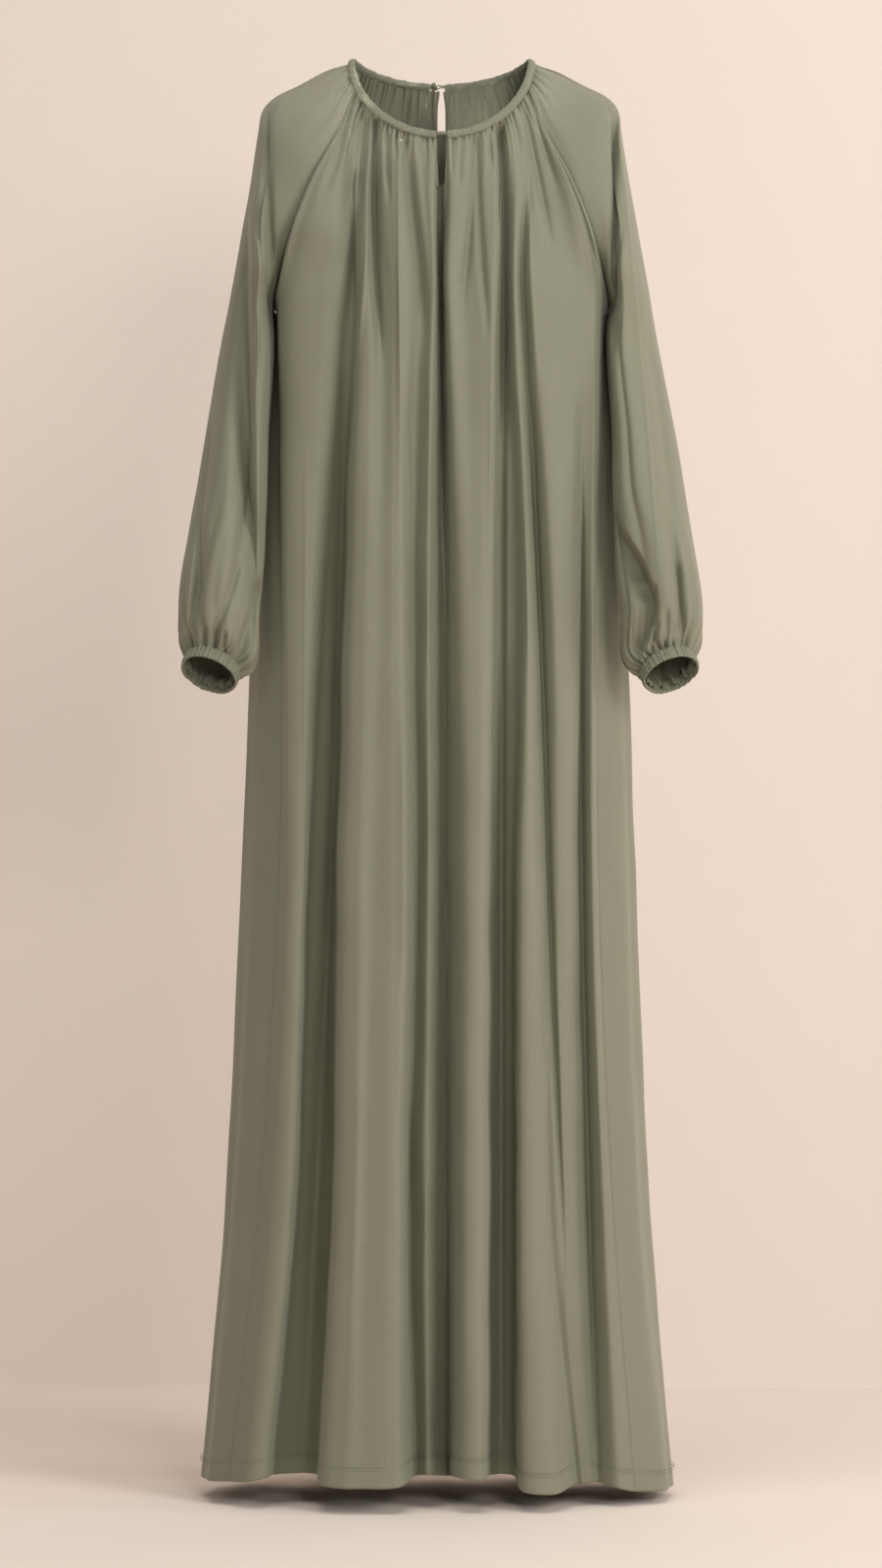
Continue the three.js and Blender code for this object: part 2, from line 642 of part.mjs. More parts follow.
function tube(path, radius, closed) {
  const n = path.length;
  const sections = path.map((p, i) => {
    const a = path[closed ? (i + n - 1) % n : Math.max(i - 1, 0)];
    const b = path[closed ? (i + 1) % n : Math.min(i + 1, n - 1)];
    const run = b.clone().sub(a).normalize();
    const one = run.clone().cross(V(0, 1, 0)).normalize();
    const two = run.clone().cross(one).normalize();
    return count(6).map((k) => {
      const turn = (k / 6) * 2 * Math.PI;
      return p.clone()
        .addScaledVector(one, Math.cos(turn) * radius)
        .addScaledVector(two, Math.sin(turn) * radius);
    });
  });
  return sweep(sections, closed);
}

// ---- the garment ----------------------------------------------------------
const sage = { color: 0x8b8a6f, roughness: 0.75, metalness: 0 };
const group = new THREE.Group();
group.name = 'abaya';

function add(name, geometry, look) {
  const material = new THREE.MeshStandardMaterial(look);
  material.name = name;
  const mesh = new THREE.Mesh(geometry, material);
  mesh.name = name;
  group.add(mesh);
}

const none = () => false;
const everyRow = () => true;
const yokeOnly = (r) => SLEEVE_STEPS[r] < UNDERARM_ROW;
const frontMesh = clothMesh(panel(FRONT_FOLDS, false), centreGap(FRONT_FOLDS, SLIT_END), 1);
const backMesh = clothMesh(panel(BACK_FOLDS, true), centreGap(BACK_FOLDS, KEYHOLE_END), -1);
const leftGore = clothMesh(gore(LEFT_GORE, -1), none, -1);
const rightGore = clothMesh(gore(RIGHT_GORE, 1), none, 1);
const leftSleeve = clothMesh(sleeve(-1), none, -1);
const rightSleeve = clothMesh(sleeve(1), none, 1);

add('front', clothWall(frontMesh, everyRow), sage);
add('back', clothWall(backMesh, everyRow), sage);
add('side_left', clothWall(leftGore, everyRow), sage);
add('side_right', clothWall(rightGore, everyRow), sage);
add('sleeve_left', clothWall(leftSleeve, yokeOnly), sage);
add('sleeve_right', clothWall(rightSleeve, yokeOnly), sage);
add('cuff_left', cuff(-1), sage);
add('cuff_right', cuff(1), sage);
add('neck_binding_left', binding(-171.2, -3, 36), sage);
add('neck_binding_right', binding(3, 177.4, 36), sage);

const barAt = neckPoint(0).add(V(0, 0, 1.5));
add('front_bar', bar(barAt, 8.6, 4.4, 2.6), sage);

const buttonAt = V(-7.4, NECK_BACK_DEPTH, neckPoint(180).z + 1.2);
const ball = new THREE.SphereGeometry(BUTTON_RADIUS, 14, 8);
ball.rotateX(Math.PI / 2);
ball.translate(buttonAt.x, buttonAt.y, buttonAt.z);
const ballPoints = [];
const ballIndex = new Map();
const ballTris = [];
const flatBall = ball.toNonIndexed().getAttribute('position');
for (let i = 0; i < flatBall.count; i += 3) {
  const ids = [0, 1, 2].map((k) => {
    const p = V(flatBall.getX(i + k), flatBall.getY(i + k), flatBall.getZ(i + k));
    const key = `${p.x.toFixed(3)},${p.y.toFixed(3)},${p.z.toFixed(3)}`;
    if (!ballIndex.has(key)) {
      ballIndex.set(key, ballPoints.length);
      ballPoints.push(p);
    }
    return ballIndex.get(key);
  });
  if (new Set(ids).size === 3) ballTris.push(ids);
}
add('back_button', solid(ballPoints, ballTris), { color: 0x7c7b62, roughness: 0.6, metalness: 0 });

const loopPath = [V(LOOP_REACH, buttonAt.y, buttonAt.z - 1.4)];
for (const turn of [-50, -20, 10, 40, 65, 90, 115, 140, 170, 200, 230]) {
  const radius = BUTTON_RADIUS + LOOP_RADIUS + 0.35;
  const dx = -Math.sin(turn * DEG) * radius;
  loopPath.push(V(buttonAt.x + dx, buttonAt.y, buttonAt.z - Math.cos(turn * DEG) * radius));
}
loopPath.push(V(LOOP_REACH, buttonAt.y, buttonAt.z + 1.4));
add('back_loop', tube(loopPath, LOOP_RADIUS, false), { color: 0x6f6e57, roughness: 0.8, metalness: 0 });

export default group;
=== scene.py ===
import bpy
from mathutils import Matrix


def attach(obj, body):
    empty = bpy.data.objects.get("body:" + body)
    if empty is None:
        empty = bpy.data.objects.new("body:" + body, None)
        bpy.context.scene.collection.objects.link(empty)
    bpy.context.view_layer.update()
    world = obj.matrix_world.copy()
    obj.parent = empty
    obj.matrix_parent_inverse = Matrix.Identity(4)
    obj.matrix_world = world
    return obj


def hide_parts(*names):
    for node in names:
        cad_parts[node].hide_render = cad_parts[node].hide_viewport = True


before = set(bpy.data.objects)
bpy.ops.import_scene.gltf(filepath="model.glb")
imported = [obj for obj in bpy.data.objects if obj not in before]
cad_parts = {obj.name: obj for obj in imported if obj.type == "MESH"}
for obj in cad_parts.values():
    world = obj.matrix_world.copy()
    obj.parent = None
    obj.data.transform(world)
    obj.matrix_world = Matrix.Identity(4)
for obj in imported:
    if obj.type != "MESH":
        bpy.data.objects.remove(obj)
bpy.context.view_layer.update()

import math

import bmesh
import bpy
import numpy as np
from bpy.props import FloatProperty, FloatVectorProperty, IntProperty, PointerProperty
from bpy.types import Operator, Panel, PropertyGroup
from mathutils import Vector

bl_info = {
    "name": "Gathered raglan abaya",
    "version": (1, 0, 0),
    "blender": (4, 5, 0),
    "location": "3D View > Sidebar > Abaya",
    "description": "Builds a gathered, filled-out abaya in soft crepe, piece by piece",
    "category": "Object",
}

# ---------------------------------------------------------------------------
# Cut and folds.  Millimetres here, metres in the meshes.  Front is -Y.
# ---------------------------------------------------------------------------
NECK_HALF_WIDTH = 92.0
NECK_FRONT_DEPTH = 85.0
NECK_BACK_DEPTH = 68.0
NECK_FRONT_DROP = 90.0
NECK_BACK_DROP = 23.5
NECK_TOP = 3.0
NECK_ROUNDING = 0.02
BINDING_WIDTH = 8.0
BINDING_THICK = 4.0
RAGLAN_FRONT_ANGLE = 68.5
RAGLAN_BACK_ANGLE = 114.0
UNDERARM_Z = -255.0
BODY_UNDERARM = (169.0, 0.0, -259.0)
UNDERARM_FORE = 58.0
SLIT_END = 0.31
KEYHOLE_END = 0.2
SLEEVE_SHIFT = -1.5
CUFF_RADIUS = 30.0
CUFF_WIDTH = 14.0
CUFF_WALL = 2.6
CUFF_CENTRE = (229.0, -71.0, -620.8)
CUFF_PITCH = 34.0
CUFF_ROLL = 22.0
BUTTON_RADIUS = 3.2
LOOP_RADIUS = 0.7

LEVELS = np.array([0, 0.24, 0.477, 0.789, 1.0])

# One row per fold line: angle round the neck in degrees, then x and y at the
# underarm, hip, knee, shin and hem, and the height of the hem edge.
FRONT_FOLDS = np.array([
    [-68.5, -168, -6, -162, -56, -164, -72, -187, -78, -214, -78, -1441],
    [-66, -160, -77, -156, -77, -154, -92, -170, -100, -194, -106, -1438],
    [-61, -120, -95, -131, -86, -138, -94, -151, -102, -174, -104, -1434],
    [-58, -95, -88, -114, -63, -131, -64, -144, -65, -166, -68, -1435],
    [-55, -87, -86, -98, -65, -107, -64, -113, -65, -128, -66, -1435],
    [-51, -82, -107, -94, -104, -102, -112, -109, -120, -122, -132, -1437],
    [-47, -71, -112, -78, -117, -84, -127, -89, -138, -100, -149, -1439],
    [-43, -59, -106, -61, -117, -67, -127, -76, -138, -78, -151, -1439],
    [-35, -48, -113, -48, -120, -48, -131, -50, -143, -52, -151, -1439],
    [-26, -39, -116, -37, -117, -35, -127, -39, -134, -38, -143, -1437],
    [-20, -23, -105, -28, -96, -26, -92, -32, -90, -27, -90, -1434],
    [-7, -6.5, -113, -13, -108, -12, -106, -15, -106, -13, -106, -1431],
    [-2.8, -2, -86, 0, -84, 2.5, -82, 4, -80, 4, -80, -1435],
    [2.8, 1.8, -86, 5, -84, 6.5, -82, 7.5, -80, 8.5, -80, -1435],
    [7, 6.5, -113, 15, -115, 19, -121, 16, -128, 15, -132, -1430],
    [22, 24, -110, 32, -121, 33, -131, 30, -141, 30, -148, -1431],
    [33, 52, -115, 49, -116, 46, -123, 45, -130, 44, -138, -1431],
    [36.5, 56, -98, 54, -88, 51, -80, 51, -78, 50, -82, -1434],
    [41, 65, -97, 74, -84, 72, -78, 73, -76, 72, -80, -1435],
    [45, 71, -107, 84, -100, 78, -112, 78, -122, 80, -134, -1444],
    [48, 76, -105, 88, -99, 93, -112, 101, -122, 112, -134, -1447],
    [51, 82, -90, 97, -80, 104, -92, 108, -98, 132, -86, -1444],
    [56, 93, -102, 112, -96, 117, -98, 120, -96, 142, -84, -1443],
    [61, 128, -88, 133, -84, 131, -92, 134, -86, 150, -82, -1442],
    [64, 147, -80, 142, -64, 140, -70, 149, -70, 158, -78, -1442],
    [66.5, 159, -66, 153, -68, 152, -83, 164, -88, 177, -94, -1446],
    [68.5, 165.5, -6, 158, -52, 158, -68, 174.5, -74, 194, -80, -1451],
], dtype=float)

BACK_FOLDS = np.array([
    [-66, -168, 6, -164, 58, -167, 74, -190, 80, -217, 78, -1442],
    [-60, -146, 62, -152, 84, -158, 100, -176, 108, -196, 112, -1440],
    [-54, -118, 90, -132, 84, -138, 92, -150, 96, -170, 92, -1436],
    [-46, -96, 90, -108, 74, -116, 74, -124, 72, -142, 76, -1434],
    [-39, -80, 108, -88, 110, -92, 120, -98, 130, -114, 142, -1438],
    [-31, -62, 108, -66, 118, -68, 130, -72, 142, -84, 150, -1440],
    [-24, -46, 114, -46, 114, -46, 122, -50, 130, -54, 140, -1438],
    [-16, -30, 102, -32, 96, -30, 94, -32, 94, -34, 96, -1433],
    [-9, -16, 110, -16, 108, -15, 114, -14, 118, -14, 124, -1434],
    [-2.6, -4, 112, -4, 112, -4, 122, -5, 128, -5, 134, -1436],
    [2.6, 4, 112, 4, 112, 5, 122, 5, 128, 6, 134, -1436],
    [10, 18, 106, 18, 104, 20, 106, 22, 110, 24, 116, -1434],
    [18, 34, 100, 34, 94, 36, 92, 38, 92, 42, 94, -1433],
    [26, 50, 112, 52, 114, 54, 124, 56, 132, 62, 142, -1438],
    [34, 68, 108, 72, 116, 76, 126, 80, 138, 90, 148, -1441],
    [41, 84, 106, 92, 106, 98, 114, 102, 122, 114, 130, -1439],
    [48, 98, 88, 110, 74, 116, 74, 124, 74, 136, 78, -1436],
    [56, 120, 88, 132, 84, 136, 92, 146, 96, 160, 94, -1439],
    [61, 146, 60, 150, 82, 154, 98, 168, 104, 182, 108, -1445],
    [66, 165.5, 6, 160, 56, 162, 72, 179, 78, 199, 80, -1450],
], dtype=float)

LEFT_GORE = np.array([
    [-168, -6, -162, -56, -164, -72, -187, -78, -214, -78, -1441],
    [-169.4, -3, -179, -34, -191, -46, -211, -52, -236, -56, -1443],
    [-170.5, 4, -192, 14, -204.5, 0, -224.5, -4, -247, -6, -1445],
    [-169.4, 5.2, -186, 40, -192, 46, -212, 46, -238, 44, -1444],
    [-168, 6, -164, 58, -167, 74, -190, 80, -217, 78, -1442],
], dtype=float)

RIGHT_GORE = np.array([
    [165.5, -6, 158, -52, 158, -68, 174.5, -74, 194, -80, -1451],
    [165.9, -3, 174, -32, 185, -46, 202, -52, 226, -58, -1453],
    [166.6, 4, 187.5, 14, 198.5, 0, 216.5, -4, 238.5, -6, -1454],
    [165.9, 5.2, 181, 40, 186, 46, 204, 46, 229, 44, -1452],
    [165.5, 6, 160, 56, 162, 72, 179, 78, 199, 80, -1450],
], dtype=float)

# Raglan part of a sleeve: top of shoulder (out, z), front seam (out, y, z),
# then how the cloth turns off the seam and how far its two handles reach.
YOKE = np.array([
    [96, -6, 87, -33, -41, 66, 8, 12],
    [118, -12, 97, -47, -61, 70, 10, 18],
    [145, -26, 108, -58, -84, 75, 14, 26],
    [168, -38, 119, -67, -105, 80, 18, 34],
    [181.5, -53, 129, -73, -124, 82, 22, 42],
    [185.5, -76, 141, -76, -152, 80, 24, 50],
    [190.5, -108, 150.5, -74, -178, 70, 28, 56],
    [197, -148, 158, -64, -203, 48, 38, 64],
    [205, -196, 165, -42, -231, 4, 80, 70],
    [214.5, -246, 172.3, 0, -257, -4, 122, 72],
], dtype=float)

# Arm part: z, out, y, half width, half depth, lean to the body, pitch, roll.
ARM = np.array([
    [-300, 198.5, -10, 25.7, 63, 0.25, 0, 0],
    [-380, 208, -26, 30, 58, 0.3, 0, 0],
    [-440, 212.6, -40, 34.5, 56, 0.3, 0, 0],
    [-480, 216.8, -48, 37.8, 55, 0.2, 2, 0],
    [-520, 220.3, -55, 40.3, 53, 0.1, 8, 2],
    [-560, 223.8, -61, 40.8, 50, 0.04, 17, 6],
    [-590, 224.5, -66, 40.5, 45, 0, 26, 13],
    [-610, 224.8, -69, 37, 38, 0, 31, 19],
    [-619.5, 229.5, -70.5, 29.6, 29.6, 0, 34, 22],
], dtype=float)

# Long folds of a sleeve: rows from and to, place round at both, width, depth.
SLEEVE_FOLDS = np.array([
    [3, 9.5, 0.43, 0.07, 0.035, 6],
    [8, 15.5, 0.2, 0.19, 0.03, 5],
    [12.5, 17.5, 0.33, 0.36, 0.03, 3],
    [3, 9.5, 0.57, 0.93, 0.035, 5],
    [8, 16, 0.78, 0.74, 0.035, 5],
    [11.5, 17.5, 0.62, 0.6, 0.03, 3],
], dtype=float)

# Creases and ridges placed on the front: heights of both ends, x at
# four even heights between them, how wide the crease is to its left and to
# its right, and how deep it is (below zero stands out).
FRONT_CREASES = np.array([
    [-40, -300, -65, -67.2, -66.5, -62, 4.6, 4.2, 18],
    [-52, -332, -71.5, -72, -77.5, -88.5, 3, 3, -3],
    [-60, -280, -77, -82, -88, -93, 5, 5, 9],
    [-100, -430, -43, -42.5, -41.5, -40, 2.4, 1.1, -1.5],
    [-70, -300, -36, -30, -21, -15, 5, 4, 8],
    [-30, -500, -2.6, -2.7, -2.4, -1.8, 2.2, 2.6, 13],
    [-30, -500, 0.8, 0.2, 0.2, 0.8, 2.4, 1.8, 10],
    [-36, -150, -86, -97, -106, -118, 5, 5, 4],
    [-40, -160, -78.5, -82, -87, -94, 3.5, 4, 4.5],
    [-48, -160, -73, -76, -79.5, -83, 2.8, 2.8, 6],
    [-55, -150, -55.5, -55, -54.5, -53, 2.4, 2.4, 5.5],
    [-62, -112, -46.5, -46, -45.5, -45, 1.8, 1.8, 4.5],
    [-66, -104, -41, -41.5, -42, -42, 1.5, 1.5, 3],
    [-72, -112, -25.5, -25, -24, -23, 1.8, 1.8, 3],
    [-72, -128, 12, 11.5, 11, 11, 1.8, 1.8, 2.5],
    [-72, -140, 19.5, 19, 18.5, 18, 2, 2, 3],
    [-66, -260, 31.5, 31, 27.5, 21, 3.4, 3.4, 5.5],
    [-66, -280, 37, 36.5, 40, 45, 2.6, 3.2, 6.5],
    [-64, -120, 48.5, 49, 49.5, 50, 2, 2, 5],
    [-60, -380, 58.5, 62, 62.5, 62.5, 3.6, 5.4, 20],
    [-50, -340, 82, 85.5, 90, 96, 4, 3, -3],
    [-42, -200, 82.5, 91, 101, 110, 4, 4, 6],
    [-40, -135, 88, 97, 106, 114, 3, 3, 3.5],
    [-290, -700, -11, -12, -12.5, -12.5, 5, 2.5, -3],
    [-400, -1200, 93, 104, 112, 122, 4, 2, 9],
    [-420, -1440, 140, 141.5, 148, 158, 5, 3, 10],
    [-420, -960, -136, -137, -138, -140, 1.4, 1.2, -1.3],
    [-380, -1440, 61.5, 61, 60.5, 60, 5, 3, 10],
    [-330, -1440, -97, -106, -122, -139, 7, 6, 10],
    [-400, -760, -36, -34.5, -33, -33, 3, 2, 5],
    [-1050, -1440, -34, -34, -35, -38, 5, 4, 6],
    [-700, -1300, 11, 13, 14, 15, 4, 4, 6],
    [-300, -1400, 50.5, 49, 47.5, 46, 3, 1.5, -2],
    [-700, -1440, -37, -35.5, -37, -38.5, 3.5, 1.5, -2.5],
    [-900, -1440, 98, 102, 107, 117, 3.5, 1.5, -2.5],
], dtype=float)

LEFT_SLEEVE_CREASES = np.array([
    [-62, -262, -178, -175.5, -172.5, -171, 3.5, 3, 8],
    [-96, -545, -200, -197, -194, -187, 15, 3.6, 27],
    [-380, -604, -234, -240, -245, -250, 9, 1.6, 8],
    [-130, -500, -185, -184, -183.5, -182, 4, 8, -11],
    [-130, -490, -188, -192, -192, -191.5, 2.5, 2, -2.2],
    [-330, -500, -233, -236, -238, -240, 6, 5, 2.5],
    [-480, -612, -241, -244, -248, -251, 5, 4, 6],
    [-520, -600, -202, -211, -221, -231, 5, 4.5, 6],
    [-538, -618, -185, -191, -200, -209, 1.6, 12, 16],
    [-582, -622, -236, -237, -238, -239, 2.2, 2.2, 4.5],
    [-586, -622, -226, -227, -228, -229, 2, 2, 4],
    [-588, -622, -217, -218, -218, -219, 2, 2, 4],
], dtype=float)

RIGHT_SLEEVE_CREASES = np.array([
    [-66, -300, 177.5, 175.5, 173.5, 172.5, 4, 3, 17],
    [-66, -300, 184, 183, 181.5, 180, 5, 6, -8],
    [-110, -500, 184.5, 194.5, 206.5, 216, 2.5, 2, -2.5],
    [-300, -590, 212, 224, 234, 241, 8, 6, 6.5],
    [-466, -552, 174, 187, 202, 213.5, 26, 1.5, 27],
    [-545, -616, 213.5, 214.5, 207, 198, 22, 1.5, 20],
    [-520, -604, 238.5, 240.5, 241, 241, 3.4, 3.4, 6.5],
    [-566, -614, 225.5, 225.5, 225, 224, 3, 3, 5],
    [-580, -620, 233, 233, 233, 232, 2, 2, 4],
    [-578, -620, 215, 213, 211, 209, 2.4, 2.4, 5],
], dtype=float)

UNDERARM_ROW = len(YOKE) - 1
LAST_ROW = len(YOKE) + len(ARM) - 1
YOKE_LENGTH = 165.0
HEM_TURN = 20.0
SKIRT_LENGTH = 1185
STITCH_UP = 17.0


# ---------------------------------------------------------------------------
# Small mathematics
# ---------------------------------------------------------------------------
def smooth(x):
    """Zero below 0, one above 1, and an even S between: 3x^2 - 2x^3."""
    x = np.clip(x, 0.0, 1.0)
    return x * x * (3 - 2 * x)


def spline(knots, values, t):
    """Cubic through values at knots; each inner slope is the mean of its two
    chords weighted by the other chord's length, and an end keeps its chord."""
    knots = np.asarray(knots, float)
    values = np.asarray(values, float)
    t = np.asarray(t, float)
    wide = (slice(None),) + (None,) * (values.ndim - 1)
    gap = np.diff(knots)
    chord = np.diff(values, axis=0) / gap[wide]
    slope = np.empty_like(values)
    slope[0], slope[-1] = chord[0], chord[-1]
    left, right = gap[:-1][wide], gap[1:][wide]
    slope[1:-1] = (chord[:-1] * right + chord[1:] * left) / (left + right)
    i = np.clip(np.searchsorted(knots, t, side="right") - 1, 0, len(knots) - 2)
    s = (t - knots[i]) / gap[i]
    s = s.reshape(s.shape + (1,) * (values.ndim - 1))
    h = gap[i].reshape(s.shape)
    a, b = 2 * s**3 - 3 * s**2 + 1, s**3 - 2 * s**2 + s
    c, d = 3 * s**2 - 2 * s**3, s**3 - s**2
    return a * values[i] + b * h * slope[i] + c * values[i + 1] + d * h * slope[i + 1]


def unit(v):
    """v scaled to length one."""
    return v / np.maximum(np.linalg.norm(v, axis=-1, keepdims=True), 1e-9)


def grid_normals(p, wrap=False):
    """Cross product of the steps along and down the grid, scaled to one."""
    if wrap:
        along = np.roll(p, -1, axis=1) - np.roll(p, 1, axis=1)
    else:
        along = np.gradient(p, axis=1)
    down = np.gradient(p, axis=0)
    return unit(np.cross(along, down))


def waves(x, y, seed, scale, count=12):
    """Sum of plane sine waves of random heading around one wavelength."""
    rng = np.random.default_rng(seed)
    out = np.zeros(np.broadcast(x, y).shape)
    for _ in range(count):
        turn, phase = rng.uniform(0, 2 * math.pi, 2)
        size = scale * rng.uniform(0.6, 1.7)
        out += np.sin((x * math.cos(turn) + y * math.sin(turn)) * 2 * math.pi / size + phase)
    return out / math.sqrt(count)


# ---------------------------------------------------------------------------
# Neck
# ---------------------------------------------------------------------------
def neck_point(angle):
    """Ring seen from above as two half ellipses; its height drops with the
    cosine of the angle in front and a little at the back."""
    a = np.radians(angle)
    s, c = np.sin(a), np.cos(a)

    def soft(q):
        return (q + np.sqrt(q * q + NECK_ROUNDING)) / 2

    y = -np.where(c > 0, NECK_FRONT_DEPTH, NECK_BACK_DEPTH) * c
    z = NECK_TOP - NECK_FRONT_DROP * soft(c) - NECK_BACK_DROP * soft(-c) ** 1.3
    return np.stack([NECK_HALF_WIDTH * s, y, z], -1)


def neck_run(angle):
    """Direction along the neck ring."""
    return unit(neck_point(np.asarray(angle) + 0.5) - neck_point(np.asarray(angle) - 0.5))


def neck_down(angle):
    """Direction in which the cloth leaves the neck, square to the ring."""
    a = np.radians(angle)
    s, c = np.sin(a), np.cos(a)
    out = 0.36 + 0.52 * np.abs(s) ** 8
    down = np.stack([out * s, -out * c, -np.sqrt(1 - out * out)], -1)
    return down


def neck_flat(angle):
    """The leaving direction with its part along the ring taken away."""
    down, run = unit(neck_down(angle)), neck_run(angle)
    return unit(down - run * np.sum(down * run, -1, keepdims=True))


def neck_edge(angle, reach=BINDING_WIDTH / 2 - 1.0):
    """Where a panel starts: the ring moved down the cloth by reach."""
    return neck_point(angle) + neck_flat(angle) * reach


# ---------------------------------------------------------------------------
# Sleeve
# ---------------------------------------------------------------------------
def ring_frame(pitch, roll):
    """Axes of a tilted ring: along its width, down its axis, to its front."""
    p, r = math.radians(pitch), math.radians(roll)
    along = np.array([math.cos(r), 0, math.sin(r)])
    down = np.array([math.sin(r), 0, -math.cos(r)])
    fore = np.array([0.0, -1.0, 0.0])
    return along, down * math.cos(p) + fore * math.sin(p), fore * math.cos(p) - down * math.sin(p)


def yoke_row(k):
    """Seven points of a raglan row: seam, handles and top for both halves."""
    o_out, o_z, s_out, s_y, s_z, turn, seam_pull, top_pull = YOKE[k]
    lift = 30 * (1 - k / (len(YOKE) - 1)) ** 1.2
    o = np.array([o_out, 0, o_z])
    s = np.array([s_out, s_y, s_z])
    b = np.array([s_out - 1, -s_y * 0.94, s_z + lift])
    side = math.sin(math.radians(turn)) * seam_pull
    fore = math.cos(math.radians(turn)) * seam_pull
    dz = (o_z - s_z) / 3
    return [
        s, s + [side, -fore, dz], o + [0, -top_pull, -dz], o,
        o + [0, top_pull, -dz * 0.8], b + [side, fore, dz * 0.8], b,
    ]


def arm_row(k):
    """Seven points of a closed ring: two cubics that make an ellipse."""
    z, out, y, a, b, lean, pitch, roll = ARM[k]
    along, _, fore = ring_frame(pitch, roll)
    c = np.array([out, y, z])
    inner, outer = c - along * a, c + along * a
    full = 0.35 * float(smooth((z + 520) / 180))
    pull = fore * b * 1.3333 + [-lean * b, 0, 0]
    push = -fore * b * 1.3333 + [lean * b * 0.12, 0, 0]
    near, far = pull + fore * b * full, pull - fore * b * full * 0.5
    return [inner, inner + near, outer + far, outer, outer + push, inner + push, inner]


SLEEVE_ROWS = np.array(
    [yoke_row(k) for k in range(len(YOKE))] + [arm_row(k) for k in range(len(ARM))]
)


def sleeve_rows(v):
    """The seven points at any height v, by the spline through the rows."""
    return spline(np.arange(len(SLEEVE_ROWS)), SLEEVE_ROWS, np.clip(v, 0, LAST_ROW))


def two_cubics(p, u):
    """Front half ring for u below one half, back half ring above it."""
    first = u <= 0.5
    t = np.where(first, 2 * u, 2 * u - 1)[None, :, None]
    pick = [np.where(first[None, :, None], p[:, None, i], p[:, None, i + 3]) for i in range(4)]
    q = 1 - t
    return pick[0] * q**3 + pick[1] * 3 * q * q * t + pick[2] * 3 * q * t * t + pick[3] * t**3


def sleeve_shape(u, v):
    """Bare sleeve: cubic rings, fitted to the neck over the first two rows."""
    p = two_cubics(sleeve_rows(v), u)
    turn = RAGLAN_FRONT_ANGLE + (RAGLAN_BACK_ANGLE - RAGLAN_FRONT_ANGLE) * u
    fix = neck_edge(turn)[None] - two_cubics(sleeve_rows(np.zeros(1)), u)
    return p + fix * (1 - smooth(v / 2))[:, None, None]


def seam_point(w, back):
    """The raglan seam at share w of the way from neck to underarm."""
    w = np.asarray(w, float)
    v = w * UNDERARM_ROW
    p = sleeve_rows(v)[:, 6 if back else 0]
    start = neck_edge(np.array([RAGLAN_BACK_ANGLE if back else RAGLAN_FRONT_ANGLE]))
    first = sleeve_rows(np.zeros(1))[:, 6 if back else 0]
    p = p + (start - first) * (1 - smooth(v / 2))[:, None]
    end = smooth((w - 0.97) / 0.03)[:, None]
    return p * (1 - end) + np.array(BODY_UNDERARM) * end


# ---------------------------------------------------------------------------
# Body panels
# ---------------------------------------------------------------------------
def skirt_shape(table, j, t):
    """Below the arm: the fold table's spline across, then down its levels."""
    lines = table[:, -11:]
    at = np.arange(len(table))
    xs = spline(at, lines[:, 0:10:2], j)
    ys = spline(at, lines[:, 1:10:2], j)
    hem = spline(at, lines[:, 10], j)
    x = spline(LEVELS, xs.T, t)
    y = spline(LEVELS, ys.T, t)
    z = UNDERARM_Z + (hem[None, :] - UNDERARM_Z) * np.asarray(t)[:, None]
    return np.stack([x, y, z], -1)


def plain_yoke(table, j, w, back):
    """Cubic from the neck edge to the underarm level, leaving each end in
    the cloth's own direction."""
    angle = spline(np.arange(len(table)), table[:, 0], j)
    turn = 180 - angle if back else angle
    start = neck_edge(turn)
    end = skirt_shape(table, j, np.zeros(1))[0]
    reach = np.linalg.norm(end - start, axis=-1, keepdims=True)
    leave = unit(neck_down(turn)) * reach * 0.9
    arrive = unit(skirt_shape(table, j, np.array([0.05]))[0] - end) * reach
    w = np.asarray(w)[:, None, None]
    return (
        (2 * w**3 - 3 * w**2 + 1) * start
        + (w**3 - 2 * w**2 + w) * leave
        + (3 * w**2 - 2 * w**3) * end
        + (w**3 - w**2) * arrive
    )


def yoke_shape(table, j, w, back):
    """The plain yoke pulled out at both sides to the raglan seams: broadly,
    but for the turn back to the underarm, which stays close to the seam."""
    last = len(table) - 1
    p = plain_yoke(table, j, w, back)
    held = UNDERARM_FORE if back else -UNDERARM_FORE
    turned = held * (3 * w**2 - 2 * w**3 - np.clip((w - 0.72) / 0.28, 0, 1) ** 2)
    for side, k in ((-1, 0), (1, last)):
        seam = seam_point(w, back) * [side, 1, 1]
        fix = seam[:, None] - plain_yoke(table, np.array([float(k)]), w, back)
        fix[:, 0, 1] -= turned
        off = np.abs(j - k)
        broad = 4.5 - 3.3 * smooth((w - 0.7) / 0.3)
        p = p + fix * (1 - smooth(off[None, :] / broad[:, None]))[..., None]
        p[..., 1] += turned[:, None] * (1 - smooth(off / 1.2))[None, :]
    return p


